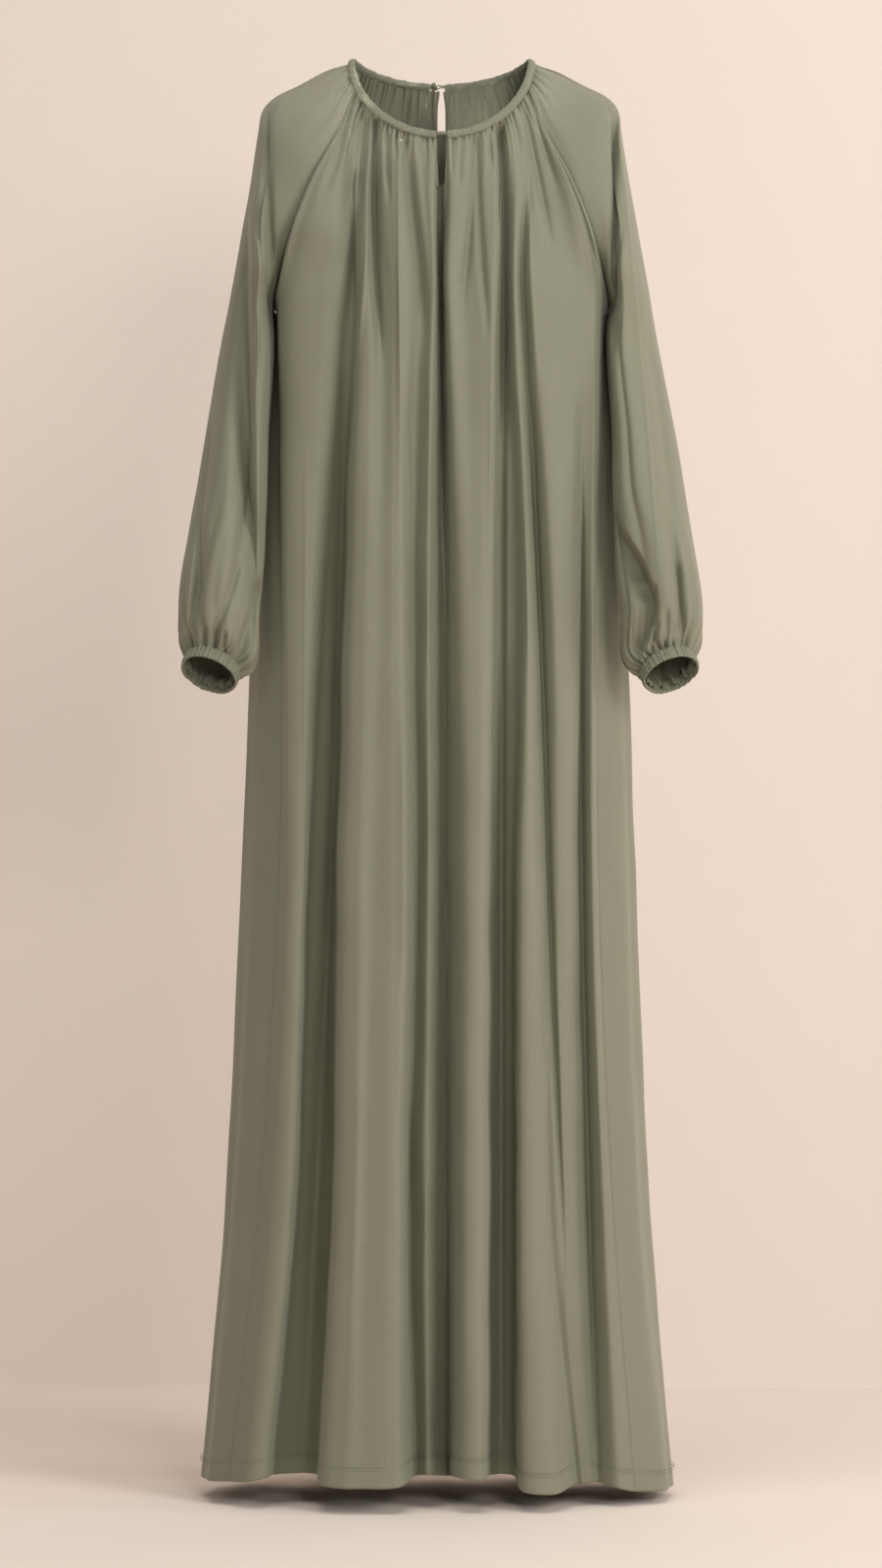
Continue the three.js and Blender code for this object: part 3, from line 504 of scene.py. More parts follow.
# ---------------------------------------------------------------------------
# Meshes
# ---------------------------------------------------------------------------
def cloth_mesh(name, p, keep=None, wrap=False, flip=False, flat_uv=None):
    """Quads between neighbours of a grid of points in millimetres.  keep says
    which quads exist; wrap joins the last column to the first."""
    rows, cols = p.shape[:2]
    index = np.arange(rows * cols).reshape(rows, cols)
    if wrap:
        index = np.concatenate([index, index[:, :1]], 1)
    quads = np.stack([index[:-1, :-1], index[:-1, 1:], index[1:, 1:], index[1:, :-1]], -1)
    corner = np.array([[0, 0], [0, 1], [1, 1], [1, 0]])
    r, c = np.meshgrid(np.arange(quads.shape[0]), np.arange(quads.shape[1]), indexing="ij")
    where = np.stack([r[..., None] + corner[:, 0], c[..., None] + corner[:, 1]], -1)
    if flip:
        quads, where = quads[..., ::-1], where[..., ::-1, :]
    quads, where = quads.reshape(-1, 4), where.reshape(-1, 4, 2)
    if keep is not None:
        keep = keep.reshape(-1)
        quads, where = quads[keep], where[keep]
    used, quads = np.unique(quads, return_inverse=True)
    quads = quads.reshape(-1, 4)
    points = p.reshape(-1, 3)[used] / 1000.0
    mesh = bpy.data.meshes.new(name)
    mesh.vertices.add(len(points))
    mesh.vertices.foreach_set("co", points.astype(np.float32).ravel())
    mesh.loops.add(quads.size)
    mesh.loops.foreach_set("vertex_index", quads.astype(np.int32).ravel())
    mesh.polygons.add(len(quads))
    mesh.polygons.foreach_set("loop_start", np.arange(0, quads.size, 4, dtype=np.int32))
    mesh.polygons.foreach_set("use_smooth", np.ones(len(quads), dtype=bool))
    if flat_uv is not None:
        if wrap:
            flat_uv = np.concatenate([flat_uv, flat_uv[:, :1] + [[1e-3 * cols, 0]]], 1)
        layer = mesh.uv_layers.new(name="cloth")
        chosen = flat_uv[where[..., 0], where[..., 1]]
        layer.data.foreach_set("uv", chosen.astype(np.float32).ravel())
    mesh.update(calc_edges=True)
    mesh.validate()
    obj = bpy.data.objects.new(name, mesh)
    bpy.context.scene.collection.objects.link(obj)
    return obj


def finish_piece(obj, material, nodes):
    """Gives a piece its material and its body, and hides the CAD nodes it stands for."""
    obj.data.materials.append(material)
    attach(obj, "root")
    if nodes:
        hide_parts(*nodes)
    return obj


def made(*names):
    """The pieces of these names that have been made so far."""
    return [bpy.data.objects[name] for name in names if name in bpy.data.objects]


def tube_points(path, radius, around=12, wrap=False):
    """Circle of the given radius carried square along a path."""
    path = np.asarray(path, float)
    if wrap:
        run = unit(np.roll(path, -1, 0) - np.roll(path, 1, 0))
    else:
        run = unit(np.gradient(path, axis=0))
    side = unit(np.cross(run, [0.0, 1.0, 0.05]))
    other = unit(np.cross(run, side))
    turn = np.linspace(0, 2 * math.pi, around, endpoint=False)
    radius = np.broadcast_to(np.asarray(radius, float), (len(path),))
    ring = np.cos(turn)[None, :, None] * side[:, None] + np.sin(turn)[None, :, None] * other[:, None]
    return path[:, None] + ring * radius[:, None, None]


# ---------------------------------------------------------------------------
# Materials
# ---------------------------------------------------------------------------
def node(tree, kind, **settings):
    """A new shader node with its properties set."""
    made = tree.nodes.new(kind)
    for key, value in settings.items():
        setattr(made, key, value)
    return made


def crepe_material(name, colour, roughness, weave_mm, relief):
    """Matte crepe with a soft sheen: slow and fine noise vary the colour, and
    two crossed thread waves, broken by noise, give the crepe's fine relief."""
    material = bpy.data.materials.new(name)
    material.use_nodes = True
    tree = material.node_tree
    link = tree.links.new
    shader = tree.nodes["Principled BSDF"]
    place = node(tree, "ShaderNodeTexCoord")
    slow = node(tree, "ShaderNodeTexNoise")
    slow.inputs["Scale"].default_value = 7.0
    slow.inputs["Detail"].default_value = 3.0
    link(place.outputs["Object"], slow.inputs["Vector"])
    grain = node(tree, "ShaderNodeTexNoise")
    grain.inputs["Scale"].default_value = 900.0
    grain.inputs["Detail"].default_value = 2.0
    link(place.outputs["Object"], grain.inputs["Vector"])
    tint = node(tree, "ShaderNodeMix", data_type="RGBA")
    tint.inputs[6].default_value = (*[c * 0.95 for c in colour], 1)
    tint.inputs[7].default_value = (*[c * 1.05 for c in colour], 1)
    link(slow.outputs["Fac"], tint.inputs[0])
    fleck = node(tree, "ShaderNodeMix", data_type="RGBA", blend_type="MULTIPLY")
    ramp = node(tree, "ShaderNodeMapRange")
    ramp.inputs["From Min"].default_value = 0.3
    ramp.inputs["From Max"].default_value = 0.7
    ramp.inputs["To Min"].default_value = 0.93
    ramp.inputs["To Max"].default_value = 1.06
    link(grain.outputs["Fac"], ramp.inputs["Value"])
    fleck.inputs[0].default_value = 1.0
    link(tint.outputs[2], fleck.inputs[6])
    link(ramp.outputs["Result"], fleck.inputs[7])
    link(fleck.outputs[2], shader.inputs["Base Color"])
    heights = []
    for axis in ("X", "Z"):
        threads = node(tree, "ShaderNodeTexWave", wave_type="BANDS", bands_direction=axis)
        threads.inputs["Scale"].default_value = 314.0 / weave_mm
        threads.inputs["Distortion"].default_value = 1.2
        threads.inputs["Detail"].default_value = 1.0
        link(place.outputs["Object"], threads.inputs["Vector"])
        heights.append(threads)
    cross = node(tree, "ShaderNodeMath", operation="ADD")
    link(heights[0].outputs["Fac"], cross.inputs[0])
    link(heights[1].outputs["Fac"], cross.inputs[1])
    total = node(tree, "ShaderNodeMath", operation="ADD")
    link(cross.outputs[0], total.inputs[0])
    link(grain.outputs["Fac"], total.inputs[1])
    bump = node(tree, "ShaderNodeBump")
    bump.inputs["Strength"].default_value = relief
    bump.inputs["Distance"].default_value = 0.0002
    link(total.outputs[0], bump.inputs["Height"])
    link(bump.outputs["Normal"], shader.inputs["Normal"])
    shader.inputs["Roughness"].default_value = roughness
    shader.inputs["Specular IOR Level"].default_value = 0.35
    shader.inputs["Sheen Weight"].default_value = 0.25
    shader.inputs["Sheen Roughness"].default_value = 0.45
    shader.inputs["Sheen Tint"].default_value = (0.85, 0.84, 0.74, 1)
    return material


def plain_material(name, colour, roughness, scale, amount):
    """Painted or thread finish: one noise varies the colour a little."""
    material = bpy.data.materials.new(name)
    material.use_nodes = True
    tree = material.node_tree
    shader = tree.nodes["Principled BSDF"]
    place = node(tree, "ShaderNodeTexCoord")
    noise = node(tree, "ShaderNodeTexNoise")
    noise.inputs["Scale"].default_value = scale
    noise.inputs["Detail"].default_value = 4.0
    tree.links.new(place.outputs["Object"], noise.inputs["Vector"])
    mix = node(tree, "ShaderNodeMix", data_type="RGBA")
    mix.inputs[6].default_value = (*[c * (1 - amount) for c in colour], 1)
    mix.inputs[7].default_value = (*[c * (1 + amount) for c in colour], 1)
    tree.links.new(noise.outputs["Fac"], mix.inputs[0])
    tree.links.new(mix.outputs[2], shader.inputs["Base Color"])
    shader.inputs["Roughness"].default_value = roughness
    shader.inputs["Specular IOR Level"].default_value = 0.3
    return material


def open_from_behind(material):
    """Leaves only the side of a stage surface that its normals point to."""
    tree = material.node_tree
    output = tree.nodes["Material Output"]
    side = node(tree, "ShaderNodeNewGeometry")
    clear = node(tree, "ShaderNodeBsdfTransparent")
    mix = node(tree, "ShaderNodeMixShader")
    tree.links.new(side.outputs["Backfacing"], mix.inputs[0])
    tree.links.new(tree.nodes["Principled BSDF"].outputs[0], mix.inputs[1])
    tree.links.new(clear.outputs[0], mix.inputs[2])
    tree.links.new(mix.outputs[0], output.inputs["Surface"])


def material_of(kind):
    """The crepe, binding, thread and button finishes, each made once."""
    found = bpy.data.materials.get("abaya_" + kind)
    if found:
        return found
    look = bpy.context.scene.abaya_look
    name = "abaya_" + kind
    if kind == "crepe":
        return crepe_material(name, look.crepe_colour, look.crepe_roughness, 0.5, 0.35)
    if kind == "binding":
        colour = [c * 0.92 for c in look.crepe_colour]
        return crepe_material(name, colour, look.crepe_roughness, 0.5, 0.5)
    if kind == "cuff":
        colour = [c * 0.95 for c in look.crepe_colour]
        return crepe_material(name, colour, look.crepe_roughness, 0.5, 0.45)
    if kind == "thread":
        return plain_material(name, look.thread_colour, 0.7, 600.0, 0.12)
    return plain_material(name, look.button_colour, 0.5, 400.0, 0.1)


# ---------------------------------------------------------------------------
# Gathers
# ---------------------------------------------------------------------------
def gathers(at, far, start, stop, count, seed, depth, length, width):
    """Sum of short troughs that run down from an edge.  at is the place along
    the edge and far the distance from it; each trough is a bell across, and
    dies away down its own length."""
    rng = np.random.default_rng(seed)
    centres = np.linspace(start, stop, count) + rng.uniform(-0.36, 0.36, count) * (stop - start) / count
    out = np.zeros(np.broadcast(at, far).shape)
    for centre in centres:
        deep = depth * rng.uniform(0.5, 1.25)
        long = length * rng.uniform(0.45, 1.7)
        broad = width * rng.uniform(0.7, 1.35) * (1 + far / (2.2 * length))
        lean = rng.uniform(-0.05, 0.05) * width
        across = (at - centre - lean * far / length) / broad
        out -= deep * np.exp(-across**2) * np.exp(-((far / long) ** 1.5))
    return out


def crease_lift(p, n, table):
    """Sum of the table's creases: a bell across with its own width on each
    side, fading in and out over its ends, only on cloth that faces forward."""
    x, z = p[..., 0], p[..., 2]
    out = np.zeros(x.shape)
    for top, bottom, x0, x1, x2, x3, left, right, depth in table:
        share = (z - top) / (bottom - top)
        centre = spline(np.arange(4) / 3, np.array([x0, x1, x2, x3]), np.clip(share, 0, 1))
        off = x - centre
        fade = smooth((share + 0.12) / 0.24) * smooth((1.12 - share) / 0.4)
        out -= depth * fade * np.exp(-((off / np.where(off < 0, left, right)) ** 2))
    return out * np.clip(0.2 - 2 * n[..., 1], 0, 1)


def body_columns(last, count):
    """Columns in fold numbers, closer together at both seams."""
    middle = np.linspace(0, last, count)
    edge = np.array([0.012, 0.026, 0.042, 0.062, 0.085])
    return np.unique(np.round(np.concatenate([middle, edge, last - edge]), 5))


def seam_dip(p, depth=0.4, width=1.2):
    """How far the cloth turns in at both side seams, by distance from them."""
    step = np.linalg.norm(np.diff(p, axis=1), axis=-1)
    run = np.concatenate([np.zeros((len(p), 1)), np.cumsum(step, 1)], 1)
    left, right = run, run[:, -1:] - run
    return -depth * (np.exp(-((left / width) ** 2)) + np.exp(-((right / width) ** 2))), run


def hem_band(p, n, below):
    """Moves the last 20 mm out a little, with a groove at the stitching."""
    band = 0.3 * smooth((HEM_TURN + 2 - below) / 4)
    groove = -0.22 * (
        np.exp(-(((below - STITCH_UP) / 0.8) ** 2)) + np.exp(-(((below - STITCH_UP - 3) / 0.8) ** 2))
    )
    return p + n * (band + groove)[..., None]


def with_allowance(p, n):
    """Adds one column at both sides that slopes in under the next piece."""
    n = np.concatenate([n, np.repeat(n[-1:], len(p) - len(n), 0)])
    left = p[:, :1] + unit(p[:, :1] - p[:, 4:5]) * 1.8 - n[:, :1] * 0.5
    right = p[:, -1:] + unit(p[:, -1:] - p[:, -5:-4]) * 1.8 - n[:, -1:] * 0.5
    return np.concatenate([left, p, right], 1)


def turned_hem(p, n):
    """Adds the hem's fold: round the edge and 20 mm up the inside."""
    edge, normal = p[-1:], n[-1:]
    fall = unit(p[-1:] - p[-3:-2])
    low = edge - normal * 0.9 + fall * 0.7
    inside = [low, edge - normal * 1.8]
    length = np.linalg.norm(p[1:] - p[:-1], axis=-1).mean(1)
    height = np.cumsum(length[::-1])
    for up in (5.0, 12.0, 19.0):
        k = len(p) - 1 - int(np.searchsorted(height, up))
        inside.append((p[k] - n[k] * 1.7)[None])
    return np.concatenate([p] + inside)


class AbayaSizes(PropertyGroup):
    """Sizes that set how fine and how full the cloth is."""

    columns: IntProperty(
        name="Columns", description="Columns of the front panel", default=400, min=60, max=460
    )
    skirt_rows: IntProperty(
        name="Skirt rows", description="Rows between underarm and hem", default=128, min=20, max=200
    )
    gather_depth: FloatProperty(
        name="Gather depth", description="Depth of the neck gathers",
        default=0.0042, min=0, max=0.006, unit="LENGTH",
    )
    gather_length: FloatProperty(
        name="Gather length", description="How far the neck gathers run down",
        default=0.020, min=0.005, max=0.2, unit="LENGTH",
    )
    cuff_gather: FloatProperty(
        name="Cuff gather", description="Depth of the pleats above the cuffs",
        default=0.0032, min=0, max=0.006, unit="LENGTH",
    )
    stitch: FloatProperty(
        name="Stitch length", description="Length of a hem stitch",
        default=0.0026, min=0.001, max=0.006, unit="LENGTH",
    )


class AbayaLook(PropertyGroup):
    """Colours and finishes."""

    crepe_colour: FloatVectorProperty(
        name="Crepe", description="Colour of the cloth", subtype="COLOR",
        size=3, default=(0.205, 0.206, 0.142), min=0, max=1,
    )
    thread_colour: FloatVectorProperty(
        name="Thread", description="Colour of stitching and loop", subtype="COLOR",
        size=3, default=(0.185, 0.186, 0.13), min=0, max=1,
    )
    button_colour: FloatVectorProperty(
        name="Button", description="Colour of the neck button", subtype="COLOR",
        size=3, default=(0.15, 0.145, 0.10), min=0, max=1,
    )
    wall_colour: FloatVectorProperty(
        name="Wall", description="Colour of the wall", subtype="COLOR",
        size=3, default=(0.75, 0.655, 0.585), min=0, max=1,
    )
    crepe_roughness: FloatProperty(
        name="Roughness", description="Roughness of the cloth", default=0.62, min=0, max=1
    )
    key_power: FloatProperty(
        name="Key light", description="Power of the main light", default=120.0, min=0, unit="POWER"
    )


def skirt_rows(count):
    """Even shares of the skirt's length, with closer rows at the hem's fold,
    its stitching and its edge."""
    t = np.linspace(0, 1, count + 1)[1:]
    near_hem = np.array([28, 24, 21, 20, 19, 18, 17, 16, 14, 10, 5, 2]) / SKIRT_LENGTH
    return np.unique(np.round(np.concatenate([t[t < 1 - 30 / SKIRT_LENGTH], 1 - near_hem, [1.0]]), 6))


def cloth_uv(p, row, column):
    """Lengths run along one row and down one column, in metres."""
    run = np.cumsum(np.concatenate([[0], np.linalg.norm(np.diff(p[row], axis=0), axis=-1)]))
    drop = np.cumsum(np.concatenate([[0], np.linalg.norm(np.diff(p[:, column], axis=0), axis=-1)]))
    return np.stack(np.broadcast_arrays(run[None, :] / 1000, -drop[:, None] / 1000), -1)


def body_panel(name, table, back, count, end, seed, gather_count):
    """Front or back: yoke rows, skirt rows and the turned hem, with gathers
    down from the neck and the two centre columns cut open at the top."""
    sizes = bpy.context.scene.abaya_sizes
    last = len(table) - 1
    j = body_columns(last, count)
    w = np.linspace(0, 1, 84) ** 1.25
    cut = int(np.argmin(np.abs(w - end)))
    w[cut] = end
    t = skirt_rows(sizes.skirt_rows)
    p = np.concatenate([yoke_shape(table, j, w, back), skirt_shape(table, j, t)])
    n = grid_normals(p) * (1 if back else -1)
    far = np.concatenate([w * YOKE_LENGTH, YOKE_LENGTH + t * SKIRT_LENGTH])[:, None]
    angle = spline(np.arange(last + 1), table[:, 0], j)[None, :]
    edge = np.clip(np.minimum(j, last - j) * 2.0, 0, 1)[None, :]
    lift = gathers(
        angle, far, table[0, 0], table[-1, 0], gather_count, seed,
        sizes.gather_depth * 1000, sizes.gather_length * 1000, 0.66,
    ) * edge
    lift = lift + gathers(angle, far, table[0, 0], table[-1, 0], 13, seed + 3, 2.4, 62.0, 1.3) * edge
    soft = waves(j[None, :] * 6.0, far / 9.0, seed + 1, 14.0)
    lift = lift + 0.55 * soft * smooth(far / 120) * edge
    dip, _ = seam_dip(p)
    dip = dip * np.concatenate([w * 0 + 1, t * 0 + 2.2])[:, None]
    below = (1 - np.concatenate([w * 0, t]))[:, None] * SKIRT_LENGTH
    fore = 0 if back else crease_lift(p, n, FRONT_CREASES) * (0.3 + 0.7 * smooth(far / 12)) * edge
    p = p + n * (lift + dip)[..., None]
    p[..., 1] -= fore
    p = hem_band(p, n, np.broadcast_to(below, p.shape[:2]))
    left = int(np.argmax(table[:, 0] > -5))
    gap = (j > left - 1e-6) & (j < left + 1 + 1e-6)
    slit_off = np.abs(j - left - 0.5)
    slit_side = np.exp(-((np.minimum(np.abs(j - left), np.abs(j - left - 1)) / 0.22) ** 2))
    open_rows = np.concatenate([smooth((end * 1.25 - w) / (end * 0.3)), t * 0])[:, None]
    p = p - n * (2.2 * slit_side[None, :] * open_rows)[..., None]
    first, final = np.flatnonzero(gap)[[0, -1]]
    middle = (p[:, [first], 0] + p[:, [final], 0]) / 2
    if back:
        pull = 0.5 * np.exp(-((far / 9.0) ** 2))
    else:
        pull = 0.35 * smooth((np.concatenate([w, t * 0 + 9]) - 0.3 * end) / (0.7 * end))[:, None]
        pull = pull * (np.concatenate([w, t * 0 + 9]) <= end + 1e-9)[:, None]
    near = np.exp(-((np.clip(slit_off - 0.5, 0, None) / 0.25) ** 2))
    p[..., 0] -= (p[..., 0] - middle) * pull * near[None, :]
    p = with_allowance(turned_hem(p, n), n)
    rows, cols = p.shape[:2]
    keep = np.ones((rows - 1, cols - 1), bool)
    gap = np.concatenate([[False], gap, [False]])
    inner = gap[:-1] & gap[1:]
    keep[:cut, inner] = False
    return cloth_mesh(name, p, keep=keep, flip=not back, flat_uv=cloth_uv(p, 90, cols // 2))


def gore_panel(name, table, side, seed):
    """Side gore: a narrow tongue under the arm that widens to the hem."""
    sizes = bpy.context.scene.abaya_sizes
    last = len(table) - 1
    j = body_columns(last, 84)
    t = skirt_rows(sizes.skirt_rows)
    p = skirt_shape(table, j, t)
    first = p[:1]
    top = np.array(BODY_UNDERARM) * [side, 1, 1]
    tongue = [top + (first - top) * s for s in (0.15, 0.35, 0.6, 0.8)]
    p = np.concatenate(tongue + [p])
    n = grid_normals(p) * (-1 if side > 0 else 1)
    t = np.concatenate([[0, 0, 0, 0], t])
    edge = np.clip(np.minimum(j, last - j) * 1.2, 0, 1)[None, :]
    down = t[:, None]
    long = 5.0 * np.exp(-(((j[None, :] - 1.35 - 0.25 * down) / 0.4) ** 2)) * smooth(down * 1.6 - 0.2)
    long += 4.0 * np.exp(-(((j[None, :] - 2.75 + 0.2 * down) / 0.4) ** 2)) * smooth(down * 1.6 - 0.3)
    soft = waves(j[None, :] * 18.0, down * 130, seed, 16.0)
    lift = 2.4 * np.exp(-((down / 0.035) ** 2)) * edge - long + 0.5 * soft * edge
    dip, _ = seam_dip(p)
    p = p + n * (lift + dip * 2.2)[..., None]
    below = np.broadcast_to((1 - t)[:, None] * SKIRT_LENGTH, p.shape[:2])
    p = hem_band(p, n, below)
    p = with_allowance(turned_hem(p, n), n)
    return cloth_mesh(name, p, flip=side > 0, flat_uv=cloth_uv(p, -8, 40))


def sleeve_lift(u, v, seed):
    """Depth of a sleeve's long folds, neck gathers and cuff pleats."""
    sizes = bpy.context.scene.abaya_sizes
    uu, vv = u[None, :], v[:, None]
    lift = np.zeros((len(v), len(u)))
    for v0, v1, u0, u1, width, depth in SLEEVE_FOLDS:
        s = np.clip((vv - v0) / (v1 - v0), 0, 1)
        across = (uu - (u0 + (u1 - u0) * s)) / width
        lift -= depth * np.sin(math.pi * s) ** 0.7 * np.exp(-(across**2))
    edge = np.clip(np.minimum(uu, 1 - uu) * 20, 0, 1)
    edge = np.where(vv > UNDERARM_ROW, np.maximum(edge, smooth((vv - UNDERARM_ROW) / 1.5)), edge)
    far = vv * 22.0
    lift += gathers(uu * 45.0, far, 0, 45.0, 10, seed, 3.0, 34.0, 1.1)
    lift += gathers(uu * 45.0, far, 0, 45.0, 16, seed + 7, 1.6, 12.0, 0.7)
    left = (LAST_ROW - vv) * 17.0
    pleats = gathers(uu * 30.0, left, 0, 30.0, 27, seed + 1, sizes.cuff_gather * 1000, 30.0, 0.31)
    lift += pleats + gathers(uu * 30.0, left, 0, 30.0, 13, seed + 4, 4.2, 62.0, 0.5)
    lift += 2.6 * np.exp(-(((left - 24) / 15) ** 2))
    near = np.minimum(uu, 1 - uu) / 0.07
    lift += 3.2 * np.exp(-(near**2)) * smooth((vv - UNDERARM_ROW) / 0.4) * smooth(left / 30)
    lift += 0.6 * waves(uu * 260, vv * 22.0, seed + 2, 70.0) * smooth(vv / 3) * smooth((LAST_ROW - vv) / 1.5)
    return lift * edge


def sleeve_piece(name, side, seed):
    """Sleeve: raglan rows with open sides, then closed rings to the cuff."""
    count = 260
    u = np.linspace(0, 1, count + 1)
    upper = np.linspace(0, UNDERARM_ROW, 84)
    lower = UNDERARM_ROW + (LAST_ROW - UNDERARM_ROW) * (1 - (1 - np.linspace(0, 1, 150)) ** 1.25)
    v = np.concatenate([upper, lower[1:]])
    p = sleeve_shape(u, v)
    n = -grid_normals(p)
    closing = v >= UNDERARM_ROW - 1e-9
    joined = unit(n[:, 0] + n[:, -1])
    n[closing, 0] = joined[closing]
    n[closing, -1] = joined[closing]
    lift = sleeve_lift(u, v, seed)
    world = p * [side, 1, 1] + [SLEEVE_SHIFT, 0, 0]
    creases = RIGHT_SLEEVE_CREASES if side > 0 else LEFT_SLEEVE_CREASES
    fore = crease_lift(world, n * [side, 1, 1], creases) * smooth(v / 1.5)[:, None]
    fore = fore * smooth(np.minimum(u, 1 - u) / 0.03)[None, :]
    ends = (lift[:, 0] + lift[:, -1]) / 2
    lift[closing, 0], lift[closing, -1] = ends[closing], ends[closing]
    dip, _ = seam_dip(p)
    raglan = (1 - smooth((v - UNDERARM_ROW + 0.5) / 0.5))[:, None]
    p = p + n * (lift + dip * np.maximum(raglan, 0.35))[..., None]
    p[..., 1] -= fore
    ring, axis = p[-1:], ring_frame(CUFF_PITCH, CUFF_ROLL)[1]
    centre = ring[0].mean(0)
    inside = [centre + (ring - centre) * s + axis * d for s, d in ((0.97, 1.5), (0.94, 5.0), (0.94, 11.0))]
    p = np.concatenate([p] + inside)
    n = np.concatenate([n] + [n[-1:]] * 3)
    v = np.concatenate([v, [LAST_ROW] * 3])
    free = np.clip(np.minimum(np.arange(count + 1), count - np.arange(count + 1)) / 70.0, 0, 1)
    free = np.clip(free[None, :] + smooth((v - UNDERARM_ROW) / 0.6)[:, None], 0, 1)
    shift = SLEEVE_SHIFT * smooth((v - 2) / 3)[:, None] * free
    p = p * [side, 1, 1]
    p[..., 0] += shift
    p = with_allowance(p, n * [side, 1, 1])
    return cloth_mesh(name, p, flip=side > 0, flat_uv=cloth_uv(p, 150, 130))


def cuff_piece(name, side, seed):
    """Cuff: a rounded band section carried round a tilted ring, drawn into
    fine pleats by its elastic."""
    along, axis, fore = ring_frame(CUFF_PITCH, CUFF_ROLL)
    a = np.linspace(0, 2 * math.pi, 480, endpoint=False)
    s = np.linspace(0, 2 * math.pi, 40, endpoint=False)
    across = np.sign(np.cos(s)) * np.abs(np.cos(s)) ** 0.55
    down = np.sign(np.sin(s)) * np.abs(np.sin(s)) ** 0.8
    rng = np.random.default_rng(seed)
    centres = np.linspace(0, 2 * math.pi, 40, endpoint=False) + rng.uniform(-0.05, 0.05, 40)
    ridge = np.zeros((len(a), 1))
    for centre in centres:
        off = (a - centre + math.pi) % (2 * math.pi) - math.pi
        ridge[:, 0] -= rng.uniform(0.7, 1.9) * np.exp(-((off / 0.036) ** 2))
    wobble = 0.35 * np.sin(3 * a + seed)[:, None] + 0.25 * np.sin(7 * a + 2 * seed)[:, None]
    outer = np.clip(across, 0, 1)[None, :]
    swell = 0.5 * np.abs(np.sin(down * math.pi))[None, :]
    radius = CUFF_RADIUS - CUFF_WALL / 2 + across[None, :] * CUFF_WALL / 2
    radius = radius + (ridge + swell) * (0.35 + 0.65 * outer) + wobble * 0.5
    depth = -1.5 + CUFF_WIDTH * (0.5 + 0.5 * down[None, :]) + wobble * 0.8 + ridge * 0.3 * down[None, :]
    p = np.array(CUFF_CENTRE) + (
        along * (radius * np.cos(a)[:, None])[..., None]
        + fore * (radius * np.sin(a)[:, None])[..., None]
        + axis * depth[..., None]
    )
    p = p * [side, 1, 1] + [SLEEVE_SHIFT, 0, 0]
    p = np.concatenate([p, p[:1]])
    return cloth_mesh(name, p, wrap=True, flip=side > 0)


def binding_piece(name, start, stop, seed):
    """Neck binding: a rounded section carried along the neck ring, with
    slight slanted ripples where the rolled strip twists."""
    angle = np.linspace(start, stop, 620)
    turn = np.linspace(0, 2 * math.pi, 28, endpoint=False)
    centre = neck_point(angle)
    flat = neck_flat(angle)
    face = unit(np.cross(neck_run(angle), flat))
    span = np.cumsum(np.concatenate([[0], np.linalg.norm(np.diff(centre, axis=0), axis=-1)]))
    ends = np.minimum(span, span[-1] - span)[:, None]
    cap = np.sqrt(np.clip(ends / 2.2, 0.0, 1.0) * (2 - np.clip(ends / 2.2, 0.0, 1.0)))
    cap = np.maximum(cap, 0.02)
    slant = span[:, None] + np.sin(turn)[None, :] * 3.5
    ripple = 0.24 * waves(slant, 0 * slant, seed, 6.5, 7) + 0.2 * waves(slant, 0 * slant, seed + 1, 2.8, 5)
    width = (BINDING_WIDTH / 2 + ripple) * cap
    thick = (BINDING_THICK / 2 + ripple) * cap
    p = (
        centre[:, None]
        + flat[:, None] * (np.cos(turn)[None, :] * width)[..., None]
        + face[:, None] * (np.sin(turn)[None, :] * thick)[..., None]
    )
    return cloth_mesh(name, p, wrap=True, flip=True)


def merge_meshes(name, objects):
    """One object from several, by joining their meshes."""
    joined = bmesh.new()
    for obj in objects:
        joined.from_mesh(obj.data)
        old = obj.data
        bpy.data.objects.remove(obj)
        bpy.data.meshes.remove(old)
    mesh = bpy.data.meshes.new(name)
    joined.to_mesh(mesh)
    joined.free()
    obj = bpy.data.objects.new(name, mesh)
    bpy.context.scene.collection.objects.link(obj)
    return obj


